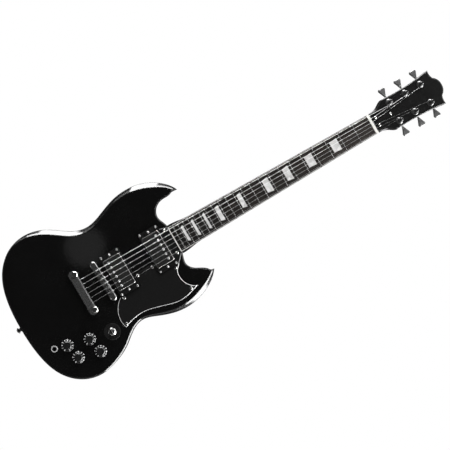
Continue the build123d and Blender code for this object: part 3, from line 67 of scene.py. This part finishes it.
# ---------------------------------------------------------------- node building
class Graph:
    """Shader nodes of a material or of the world, made and linked by short calls."""

    def __init__(self, tree):
        self.tree = tree

    def node(self, kind, **values):
        """New node; each value goes to the input of that name or else to the property."""
        made = self.tree.nodes.new(kind)
        for key, value in values.items():
            if key in made.inputs:
                made.inputs[key].default_value = value
            else:
                setattr(made, key, value)
        return made

    def link(self, source, target):
        self.tree.links.new(source, target)

    def give(self, value, target):
        """A plain number for an input, or a link to it."""
        if isinstance(value, (int, float)):
            target.default_value = value
        else:
            self.link(value, target)

    def math(self, operation, *values):
        """Arithmetic on numbers and on what other nodes give."""
        made = self.node("ShaderNodeMath", operation=operation)
        for value, target in zip(values, made.inputs):
            self.give(value, target)
        return made.outputs["Value"]

    def span(self, source, start, end, first=0.0, last=1.0, curve="LINEAR"):
        """A value that goes from first to last while the source goes from start to end."""
        made = self.node("ShaderNodeMapRange", interpolation_type=curve)
        for name, value in (("From Min", start), ("From Max", end), ("To Min", first), ("To Max", last)):
            made.inputs[name].default_value = value
        self.link(source, made.inputs["Value"])
        return made.outputs["Result"]

    def switch(self, factor, off, on):
        """One of two shaders, or a mix of both."""
        mix = self.node("ShaderNodeMixShader")
        for source, target in zip((factor, off, on), mix.inputs):
            self.link(source, target)
        return mix.outputs["Shader"]


class Shader(Graph):
    """A material under construction: a principled surface and the nodes that feed it."""

    def __init__(self, name, color, roughness, metallic=0.0, coat=0.0, coat_roughness=0.03, specular=0.5):
        self.material = bpy.data.materials.new(name)
        self.material.use_nodes = True
        super().__init__(self.material.node_tree)
        self.surface = self.tree.nodes["Principled BSDF"]
        self.set("Base Color", (*color, 1.0))
        self.set("Roughness", roughness)
        self.set("Metallic", metallic)
        self.set("Specular IOR Level", specular)
        self.set("Coat Weight", coat)
        self.set("Coat Roughness", coat_roughness)

    def set(self, socket, value):
        """Uniform value on one of the surface's own inputs."""
        self.surface.inputs[socket].default_value = value

    def feed(self, socket, source):
        """Other nodes' result on one of the surface's inputs."""
        self.link(source, self.surface.inputs[socket])

    def place(self, stretch=(1.0, 1.0, 1.0)):
        """Object coordinates in metres, multiplied along each axis."""
        coordinates = self.node("ShaderNodeTexCoord")
        mapping = self.node("ShaderNodeMapping", Scale=stretch)
        self.link(coordinates.outputs["Object"], mapping.inputs["Vector"])
        return mapping.outputs["Vector"]

    def axes(self):
        """Object coordinates as three separate numbers."""
        split = self.node("ShaderNodeSeparateXYZ")
        self.link(self.place(), split.inputs["Vector"])
        return split.outputs

    def noise(self, scale, stretch=(1.0, 1.0, 1.0), detail=4.0, roughness=0.5):
        """Cloudy value, with scale as features in a metre before the stretch."""
        texture = self.node("ShaderNodeTexNoise", Scale=scale, Detail=detail, Roughness=roughness)
        self.link(self.place(stretch), texture.inputs["Vector"])
        return texture.outputs["Fac"]

    def ramp(self, source, stops):
        """Colour or value ramp from (position, grey or colour) stops."""
        ramp = self.node("ShaderNodeValToRGB")
        elements = ramp.color_ramp.elements
        while len(elements) < len(stops):
            elements.new(0.5)
        for element, (position, shade) in zip(elements, stops):
            element.position = position
            element.color = (*shade, 1.0) if isinstance(shade, tuple) else (shade, shade, shade, 1.0)
        self.link(source, ramp.inputs["Fac"])
        return ramp.outputs["Color"]

    def faded(self, color, share):
        """A colour multiplied by a number that other nodes work out."""
        scaled = self.node("ShaderNodeVectorMath", operation="SCALE")
        self.link(color, scaled.inputs[0])
        self.link(share, scaled.inputs["Scale"])
        return scaled.outputs["Vector"]

    def bump(self, source, strength, distance, edge_radius=0.0):
        """Surface relief; with an edge radius, sharp edges also catch light as if rounded."""
        bump = self.node("ShaderNodeBump", Strength=strength, Distance=distance)
        self.link(source, bump.inputs["Height"])
        if edge_radius:
            rounded = self.node("ShaderNodeBevel", Radius=edge_radius)
            rounded.samples = 6
            self.link(rounded.outputs["Normal"], bump.inputs["Normal"])
            self.feed("Coat Normal", bump.outputs["Normal"])
        self.feed("Normal", bump.outputs["Normal"])


# ---------------------------------------------------------------- finishes
def lacquer(name, shade):
    """Black gloss lacquer over dark wood: faint orange peel and fine polishing haze."""
    shader = Shader(name, (shade, shade, shade), 0.5, coat=1.0, coat_roughness=0.02, specular=0.15)
    haze = shader.noise(14.0, detail=6.0)
    shader.feed("Base Color", shader.ramp(haze, [(0.3, shade * 0.8), (0.7, shade * 1.25)]))
    shader.feed("Roughness", shader.ramp(shader.noise(90.0), [(0.3, 0.42), (0.7, 0.58)]))
    shader.bump(shader.noise(180.0, detail=2.0), strength=0.02, distance=0.3 * MM, edge_radius=4.0 * MM)
    return shader.material


def gloss_plastic(name, shade, roughness=0.18):
    """Moulded black plastic with a fine, slightly uneven sheen."""
    shader = Shader(name, (shade, shade, shade), roughness, coat=0.3, coat_roughness=0.06, specular=0.35)
    sheen = shader.noise(400.0)
    shader.feed("Roughness", shader.ramp(sheen, [(0.3, roughness * 0.8), (0.7, roughness * 1.3)]))
    shader.feed("Base Color", shader.ramp(shader.noise(60.0), [(0.3, shade * 0.8), (0.7, shade * 1.3)]))
    shader.bump(shader.noise(700.0), strength=0.05, distance=0.2 * MM)
    return shader.material


def polished_metal(name, shade, roughness):
    """Plated metal with soft hairlines and a little wear in its polish."""
    warm = (shade, shade, shade * 0.985)
    worn = (shade * 0.92, shade * 0.92, shade * 0.90)
    shader = Shader(name, warm, roughness, metallic=1.0)
    haze = shader.noise(220.0, detail=6.0)
    wear = 0.10
    shader.feed("Roughness", shader.ramp(haze, [(0.25, roughness * 0.7), (0.8, roughness + wear)]))
    shader.feed("Base Color", shader.ramp(shader.noise(60.0), [(0.3, worn), (0.7, warm)]))
    shader.bump(shader.noise(900.0, (1.0, 1.0, 0.08)), strength=0.04, distance=0.1 * MM)
    return shader.material


def brushed_metal(name, shade, roughness):
    """Bare metal with a fine grain along the guitar."""
    shader = Shader(name, (shade, shade, shade), roughness, metallic=1.0)
    grain = shader.noise(1500.0, (1.0, 1.0, 0.05))
    shader.feed("Base Color", shader.ramp(grain, [(0.3, shade * 0.85), (0.7, shade)]))
    shader.feed("Roughness", shader.ramp(grain, [(0.3, roughness * 0.8), (0.7, roughness * 1.4)]))
    shader.bump(grain, strength=0.12, distance=0.1 * MM)
    return shader.material


def tarnish(shader, color, start, share):
    """Darkens a colour to a share of itself past a height: painted shade, standing in for the dimmer
    reflections of strings bent back past the nut.
    """
    return shader.faded(color, shader.span(shader.axes()["Z"], start, start + 6.0 * MM, 1.0, share))


def satin_metal(name, shade, roughness, metallic, painted_shade_from=None, painted_shade_share=1.0):
    """Plated surface with a soft, partly scattering grey of its own."""
    shader = Shader(name, (shade, shade, shade), roughness, metallic=metallic)
    haze = shader.noise(260.0, detail=5.0)
    tone = shader.ramp(haze, [(0.3, shade * 0.85), (0.7, shade)])
    # Painted shade, when asked for: the tone darkens past a height.
    if painted_shade_from is not None:
        tone = tarnish(shader, tone, painted_shade_from, painted_shade_share)
    shader.feed("Base Color", tone)
    shader.feed("Roughness", shader.ramp(haze, [(0.3, roughness * 0.85), (0.7, roughness * 1.2)]))
    shader.bump(shader.noise(1200.0), strength=0.06, distance=0.1 * MM)
    return shader.material


def rosewood(board):
    """Dark board: grain and short open pores drawn out along the neck, and more oil towards the body."""
    low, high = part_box(board)
    shader = Shader("rosewood", (0.02, 0.015, 0.012), 0.5, specular=0.3)
    grain = shader.noise(38.0, (6.0, 6.0, 0.35), detail=8.0, roughness=0.65)
    tone = shader.ramp(grain, [
        (0.25, (0.010, 0.0088, 0.0080)),
        (0.50, (0.023, 0.020, 0.018)),
        (0.75, (0.048, 0.042, 0.037)),
    ])
    oil = shader.span(shader.axes()["Z"], low.z, high.z, 0.25, 1.15)
    shader.feed("Base Color", shader.faded(tone, oil))
    pores = shader.noise(300.0, (4.0, 4.0, 0.22), detail=3.0)
    shader.feed("Roughness", shader.ramp(pores, [(0.35, 0.66), (0.65, 0.44)]))
    shader.bump(pores, strength=0.35, distance=0.3 * MM)
    return shader.material


def pearl():
    """Pearloid: cloudy patches of slightly different grey under a clear top."""
    shader = Shader("pearl", (0.6, 0.6, 0.6), 0.22, coat=0.6, coat_roughness=0.05)
    patches = shader.node("ShaderNodeTexVoronoi", Scale=170.0, Randomness=1.0)
    shader.link(shader.place(), patches.inputs["Vector"])
    clouds = shader.math("MULTIPLY_ADD", patches.outputs["Color"], 0.5, shader.noise(55.0, detail=5.0))
    shader.feed("Base Color", shader.ramp(clouds, [
        (0.35, (0.34, 0.34, 0.335)),
        (0.62, (0.52, 0.52, 0.515)),
        (0.90, (0.66, 0.66, 0.655)),
    ]))
    return shader.material


def bone():
    """The nut's pale stock, a touch uneven in tone."""
    color = (0.80, 0.79, 0.75)
    shader = Shader("bone", color, 0.35, coat=0.3, coat_roughness=0.08)
    shader.feed("Base Color", shader.ramp(shader.noise(70.0, (1.0, 1.0, 0.3)), [
        (0.3, tuple(part * 0.88 for part in color)),
        (0.7, color),
    ]))
    shader.bump(shader.noise(500.0), strength=0.05, distance=0.2 * MM)
    return shader.material


def half_width(board, middle, low_z, high_z):
    """How far a node reaches from its middle plane between two heights."""
    corners = [vertex.co for vertex in nodes[board].data.vertices]
    return max(abs(corner.x - middle) for corner in corners if low_z < corner.z < high_z)


def bound_edge(board):
    """Cream edge stock with painted shade as a black line along its outer side, where the rounded edge turns
    away, along the tapering board.
    """
    shader = Shader("binding", (0.52, 0.515, 0.50), 0.30, coat=0.3, coat_roughness=0.08)
    low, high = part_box(board)
    middle = (low.x + high.x) / 2
    end = 5.0 * MM                       # the board's half width is read this near its ends
    wide_end = half_width(board, middle, low.z - end, low.z + end)
    nut_end = half_width(board, middle, high.z - end, high.z + end)
    axes = shader.axes()
    half = shader.span(axes["Z"], low.z, high.z, wide_end, nut_end)
    reach = shader.math("ABSOLUTE", shader.math("SUBTRACT", axes["X"], middle))
    # Painted shade: black in the outer 0.6 mm or so, then cream.
    inset = shader.span(shader.math("SUBTRACT", half, reach), 0.0, 1.0 * MM)
    cream = (0.60, 0.595, 0.58)
    shader.feed("Base Color", shader.ramp(inset, [(0.0, 0.01), (0.62, 0.01), (0.75, cream), (1.0, cream)]))
    shader.bump(shader.noise(500.0), strength=0.05, distance=0.2 * MM)
    return shader.material


def layered_guard(back, front, square_x, square_z):
    """Black, white and black plies, by depth: white shows on the bevelled edge, but not by the neck."""
    shader = Shader("guard_plastic", (0.01, 0.01, 0.01), 0.24, coat=0.15, coat_roughness=0.04, specular=0.2)
    axes = shader.axes()
    depth = shader.span(axes["Y"], back, front)
    plies = shader.ramp(depth, [(0.0, 0.0), (0.30, 0.0), (0.36, 1.0), (0.93, 1.0), (0.97, 0.0), (1.0, 0.0)])
    soften = 2.0 * MM
    beside = shader.span(axes["X"], square_x, square_x + soften)
    below = shader.span(axes["Z"], square_z + soften, square_z)
    pale = shader.math("MULTIPLY", plies, shader.math("MAXIMUM", beside, below))
    shader.feed("Base Color", shader.ramp(pale, [(0.0, 0.008), (1.0, 0.85)]))
    shader.bump(shader.noise(500.0), strength=0.03, distance=0.2 * MM)
    return shader.material


def wound_wire(name, wave_scale, painted_shade_from, painted_shade_share):
    """Round-wound string: fine turns across its length."""
    shader = Shader(name, (0.7, 0.7, 0.69), 0.3, metallic=1.0)
    wave = shader.node("ShaderNodeTexWave", wave_type="BANDS", bands_direction="Z", Scale=wave_scale)
    shader.link(shader.place(), wave.inputs["Vector"])
    shader.bump(wave.outputs["Color"], strength=0.5, distance=0.2 * MM)
    tone = shader.ramp(wave.outputs["Color"], [(0.1, 0.55), (0.6, 0.90)])
    # Painted shade: the turns darken past the nut, where the strings bend back.
    shader.feed("Base Color", tarnish(shader, tone, painted_shade_from, painted_shade_share))
    return shader.material


def printed(name, shade):
    """Ink or paint, thinly uneven."""
    shader = Shader(name, (shade, shade, shade), 0.5, specular=0.2)
    shader.feed("Base Color", shader.ramp(shader.noise(900.0), [(0.3, shade * 0.85), (0.7, shade)]))
    return shader.material


# ---------------------------------------------------------------- which piece has which finish
GUARD_SQUARE = (45.0 * MM, 343.0 * MM)   # nearer the neck than this, the guard's edge shows no pale ply
# Painted shade on the strings past the nut, where they bend back and reflect less.
WOUND_PAINTED_SHADE = 0.35                        # what is left of the strings' brightness past the nut
PLAIN_PAINTED_SHADE = 0.2


def single_finishes():
    """Finishes by node name. Tuner posts, tuner buttons and knobs get theirs as sets."""
    guard_low, guard_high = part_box("pickguard")
    nut_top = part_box("nut")[1].z
    # After its name, a metal or plastic has its shade and roughness, and satin metal its metallic share.
    finishes = {
        "body": lacquer("black_lacquer", 0.002),
        "neck": lacquer("neck_lacquer", 0.002),
        "headstock_overlay": lacquer("veneer_lacquer", 0.007),
        "fingerboard": rosewood("fingerboard"),
        "inlays": pearl(),
        "fingerboard_binding": bound_edge("fingerboard_binding"),
        "nut": bone(),
        "frets": polished_metal("fret_metal", 0.66, 0.20),
        "pickguard": layered_guard(guard_high.y, guard_low.y, *GUARD_SQUARE),
        "wound_strings": wound_wire("string_wound", 900.0, nut_top, WOUND_PAINTED_SHADE),
        "plain_strings": satin_metal("string_plain", 0.55, 0.40, 0.35, nut_top, PLAIN_PAINTED_SHADE),
        "tailpiece_bar": satin_metal("tailpiece_metal", 0.30, 0.26, 0.9),
        "bridge_base": satin_metal("bridge_metal", 0.30, 0.17, 0.92),
        "bridge_saddles": satin_metal("saddle_metal", 0.36, 0.25, 0.85),
        # The bridge's adjusting screws get a pale, half scattering grey: painted glints on their heads.
        "bridge_adjusting_screws": satin_metal("screw_painted_glint", 0.80, 0.35, 0.4),
        "pickup_pole_screws": satin_metal("pole_screw", 0.62, 0.30, 0.80),
        # The jack nut is chrome; its pale, half scattering grey is painted sheen standing in for its bright
        # reflections.
        "jack_nut": satin_metal("jack_nut_painted_sheen", 0.75, 0.20, 0.45),
        "tuner_bushings": satin_metal("bushing_metal", 0.15, 0.30, 0.85),
        "string_ball_ends": polished_metal("ball_brass", 0.5, 0.25),
        "pickup_bobbins": gloss_plastic("bobbin_plastic", 0.02, 0.4),
        "pickup_magnets": brushed_metal("magnet", 0.3, 0.45),
        "strap_buttons": polished_metal("strap_nickel", 0.20, 0.30),
    }
    shared = (
        (gloss_plastic("black_plastic", 0.008),
         ("control_cavity_cover", "truss_rod_cover", "switch_washer", "switch_lever")),
        (gloss_plastic("ring_plastic", 0.006, 0.30),
         ("bridge_pickup_ring", "neck_pickup_ring")),
        (satin_metal("small_screw", 0.42, 0.30, 0.85),
         ("pickup_ring_screws", "pickup_height_screws")),
        (brushed_metal("steel", 0.50, 0.28),
         ("jack_body", "potentiometers", "switch_body", "truss_rod", "pickup_springs", "pickup_baseplates")),
    )
    for finish, names in shared:
        finishes.update(dict.fromkeys(names, finish))
    return finishes


def dress():
    """Gives every CAD node its finish: its own, or its set's, or else nickel."""
    finishes = single_finishes()
    nickel = polished_metal("nickel", 0.68, 0.12)
    button = satin_metal("button_metal", 0.24, 0.34, 0.55)
    post = satin_metal("post_metal", 0.17, 0.26, 0.9)
    knob = gloss_plastic("knob_plastic", 0.008, 0.2)
    for name, piece in nodes.items():
        if name.startswith("tuner_button"):
            finish = button
        elif name.startswith("tuner_post"):
            finish = post
        elif name.endswith("_knob"):
            finish = knob
        else:
            finish = finishes.get(name, nickel)
        piece.data.materials.clear()
        piece.data.materials.append(finish)


dress()


# ---------------------------------------------------------------- numerals on the knobs
NUMERAL_SIZE = 4.6 * MM
NUMERAL_BOLD = 0.10 * MM
NUMERAL_RADIUS = 10.8 * MM
NUMERAL_LIFT = 0.04 * MM
NUMERAL_EDGE = 0.6 * MM              # longer edges are halved, so that a numeral follows the skirt
NUMERAL_INK = 0.88
RAY_START = 10.0 * MM                # in front of the knob
DIAL_STEP = math.radians(30.0)       # ten steps over the knob's 300 degree turn
DIAL_START = math.radians(-150.0)


def add_piece(name, mesh, material, body):
    """New object with one material, carried by a CAD body."""
    piece = bpy.data.objects.new(name, mesh)
    mesh.materials.append(material)
    scene.collection.objects.link(piece)
    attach(piece, body)


def number_mesh(text, size):
    """Flat mesh of a numeral, centred on its own origin."""
    curve = bpy.data.curves.new("numeral", "FONT")
    curve.body = text
    curve.size = size
    curve.align_x = "CENTER"
    curve.align_y = "CENTER"
    curve.resolution_u = 3
    curve.offset = NUMERAL_BOLD
    drawn = bpy.data.objects.new("numeral", curve)
    scene.collection.objects.link(drawn)
    bpy.context.view_layer.update()
    mesh = bpy.data.meshes.new_from_object(drawn)
    bpy.data.objects.remove(drawn)
    return mesh


def number_knob(node, ink):
    """Numerals 0 to 10 laid on the knob's flared skirt, reading from its foot."""
    low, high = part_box(node)
    centre = Vector(((low.x + high.x) / 2, 0.0, (low.z + high.z) / 2))
    skin = BVHTree.FromPolygons([v.co for v in nodes[node].data.vertices],
                                [p.vertices for p in nodes[node].data.polygons])
    marks = bmesh.new()
    for number in range(11):
        drawn = number_mesh(str(number), NUMERAL_SIZE)
        numeral = bmesh.new()
        numeral.from_mesh(drawn)
        bmesh.ops.triangulate(numeral, faces=numeral.faces)
        long_edges = [edge for edge in numeral.edges if edge.calc_length() > NUMERAL_EDGE]
        bmesh.ops.subdivide_edges(numeral, edges=long_edges, cuts=1, use_grid_fill=False)
        turn = DIAL_START + number * DIAL_STEP
        for vertex in numeral.verts:
            radius = NUMERAL_RADIUS + vertex.co.y
            angle = turn + vertex.co.x / NUMERAL_RADIUS
            spot = centre + PICTURE_UP * radius * math.cos(angle) + PICTURE_RIGHT * radius * math.sin(angle)
            spot.y = low.y - RAY_START
            hit = skin.ray_cast(spot, -FRONT)
            vertex.co = hit[0] + FRONT * NUMERAL_LIFT if hit[0] else spot
        numeral.to_mesh(drawn)
        marks.from_mesh(drawn)
        numeral.free()
    mesh = bpy.data.meshes.new(f"{node}_numbers")
    marks.to_mesh(mesh)
    marks.free()
    add_piece(f"{node}_numbers", mesh, ink, node)


for knob_name in ("bridge_tone_knob", "neck_tone_knob", "bridge_volume_knob", "neck_volume_knob"):
    number_knob(knob_name, printed(f"{knob_name}_ink", NUMERAL_INK))


# ---------------------------------------------------------------- camera and lamps
VIEW_CENTRE = Vector((0.0258, -0.0150, 0.4632))
VIEW_WIDTH = 0.9108
CAMERA_DISTANCE = 4.5
FILM_WIDTH = 36.0                    # millimetres, as the lens is
LAMP_TARGET = Vector((0.0, 0.0, 0.4))
LAMPS = {                            # place, width and height, power
    "key": ((-1.6, -2.2, 2.2), (1.6, 1.6), 90.0),
    "fill": ((2.2, -2.0, 0.9), (1.4, 1.8), 45.0),
    "back": ((0.3, 2.4, 1.6), (1.6, 1.6), 60.0),
}


def place_camera():
    """Long lens square to the face, rolled so that the neck climbs to the right."""
    data = bpy.data.cameras.new("camera")
    data.sensor_width = FILM_WIDTH
    data.lens = FILM_WIDTH * CAMERA_DISTANCE / VIEW_WIDTH
    data.clip_end = 50.0
    camera = bpy.data.objects.new("camera", data)
    turn = Matrix((PICTURE_RIGHT, PICTURE_UP, FRONT)).transposed().to_4x4()
    camera.matrix_world = Matrix.Translation(VIEW_CENTRE + FRONT * CAMERA_DISTANCE) @ turn
    scene.collection.objects.link(camera)
    scene.camera = camera


def area_light(name, place, size, power):
    """Soft rectangular lamp facing the guitar; reflections come from the room instead."""
    data = bpy.data.lights.new(name, "AREA")
    data.shape = "RECTANGLE"
    data.size, data.size_y = size
    data.energy = power
    lamp = bpy.data.objects.new(name, data)
    lamp.location = place
    lamp.rotation_euler = (LAMP_TARGET - Vector(place)).to_track_quat("-Z", "Y").to_euler()
    lamp.visible_glossy = False
    scene.collection.objects.link(lamp)


# ---------------------------------------------------------------- room
FRONT_GLOSS = 0.025                  # what the dark studio behind the camera reflects
SIDE_GLOSS = 0.60
LEFT_SHADE = 0.85                    # how much less the side towards the tail reflects
SOFTBOX_GLOSS = 20.0
HEAD_GLOSS = 3.0                     # lamp past the headstock
BASS_GLOSS = 1.6                     # narrow lamp on the bass side
PATCH_GLOSS = 0.30                   # faint lamp near the camera, seen in the body's flat face
DIFFUSE_LIGHT = 0.35
CAMERA_WHITE = 1.0
# A direction, and the cosines to it where the light begins and where it is full.
UP_BOX = (PICTURE_UP - FRONT * 0.05, 0.90, 0.915)
RIGHT_BOX = (PICTURE_RIGHT * 0.85 - PICTURE_UP * 0.50 - FRONT * 0.05, 0.87, 0.90)
HEAD_BOX = (HEAD_END, 0.75, 0.90)
BASS_BOX = (BASS_SIDE, 0.955, 0.975)
PATCH = (FRONT - PICTURE_RIGHT * 0.063 - PICTURE_UP * 0.010, 0.99994, 0.99998)
TAIL_SIDE = (-PICTURE_RIGHT, 0.05, 0.45)
DARK_ENDS = ((FRONT, 0.25, 0.75), (-FRONT, 0.30, 0.55))
BOXLESS_ENDS = ((FRONT, 0.10, 0.22), (-FRONT, 0.10, 0.22))


class Room(Graph):
    """World nodes: what the camera sees, what lights the object and what it reflects."""

    def __init__(self):
        world = bpy.data.worlds.new("world")
        scene.world = world
        world.use_nodes = True
        super().__init__(world.node_tree)
        self.tree.nodes.clear()
        self.direction = self.node("ShaderNodeTexCoord").outputs["Generated"]

    def towards(self, direction, near, full):
        """0 to 1 mask, rising as the ray's cosine to a direction goes from near to full."""
        dot = self.node("ShaderNodeVectorMath", operation="DOT_PRODUCT")
        self.link(self.direction, dot.inputs[0])
        dot.inputs[1].default_value = direction.normalized()
        return self.span(dot.outputs["Value"], near, full, curve="SMOOTHSTEP")

    def either(self, first, second):
        """Mask over two directions."""
        return self.math("MAXIMUM", self.towards(*first), self.towards(*second))

    def lit(self, strength):
        """White light, as strong as a number or as other nodes say."""
        shade = self.node("ShaderNodeBackground", Color=(1.0, 1.0, 1.0, 1.0))
        self.give(strength, shade.inputs["Strength"])
        return shade.outputs["Background"]


def build_world():
    """White for the camera; even for diffuse light; for reflections a dark front and back with softboxes."""
    room = Room()
    left = room.math("MULTIPLY", room.towards(*TAIL_SIDE), LEFT_SHADE)
    sides = room.math("SUBTRACT", 1.0, room.math("MAXIMUM", room.either(*DARK_ENDS), left))
    gloss = room.math("ADD", room.math("MULTIPLY", sides, SIDE_GLOSS), FRONT_GLOSS)
    across = room.math("SUBTRACT", 1.0, room.either(*BOXLESS_ENDS))
    boxes = (
        (room.either(UP_BOX, RIGHT_BOX), SOFTBOX_GLOSS),
        (room.towards(*HEAD_BOX), HEAD_GLOSS),
        (room.towards(*BASS_BOX), BASS_GLOSS),
    )
    for box, strength in boxes:
        glow = room.math("MULTIPLY", room.math("MULTIPLY", box, across), strength)
        gloss = room.math("ADD", gloss, glow)
    gloss = room.math("ADD", gloss, room.math("MULTIPLY", room.towards(*PATCH), PATCH_GLOSS))
    path = room.node("ShaderNodeLightPath")
    lighting = room.switch(path.outputs["Is Glossy Ray"], room.lit(DIFFUSE_LIGHT), room.lit(gloss))
    seen = room.switch(path.outputs["Is Camera Ray"], lighting, room.lit(CAMERA_WHITE))
    room.link(seen, room.node("ShaderNodeOutputWorld").inputs["Surface"])


# ---------------------------------------------------------------- floor
FLOOR_DROP = 0.35                    # under the guitar's lowest point
FLOOR_REACH = 0.7
FLOOR_WHITE = 0.85                   # share of plain white in what the camera sees of it


def build_floor():
    """Pale floor under the hanging guitar: it takes a soft shadow and stays below the main view."""
    level = cad_box[0][2] - FLOOR_DROP
    corners = [(x * FLOOR_REACH, y * FLOOR_REACH, level) for x, y in ((-1, -1), (1, -1), (1, 1), (-1, 1))]
    mesh = bpy.data.meshes.new("floor")
    mesh.from_pydata(corners, [], [(0, 1, 2, 3)])
    floor = bpy.data.objects.new("floor", mesh)
    scene.collection.objects.link(floor)
    shader = Shader("floor", (0.9, 0.9, 0.9), 0.9)
    shader.feed("Base Color", shader.ramp(shader.noise(6.0), [(0.3, 0.88), (0.7, 0.92)]))
    white = shader.node("ShaderNodeEmission", Strength=1.0)
    path = shader.node("ShaderNodeLightPath")
    share = shader.math("MULTIPLY", path.outputs["Is Camera Ray"], FLOOR_WHITE)
    mixed = shader.switch(share, shader.surface.outputs["BSDF"], white.outputs["Emission"])
    shader.link(mixed, shader.tree.nodes["Material Output"].inputs["Surface"])
    mesh.materials.append(shader.material)
    floor.visible_glossy = False


place_camera()
build_world()
build_floor()
for lamp_name, settings in LAMPS.items():
    area_light(lamp_name, *settings)

scene.view_settings.view_transform = "Standard"
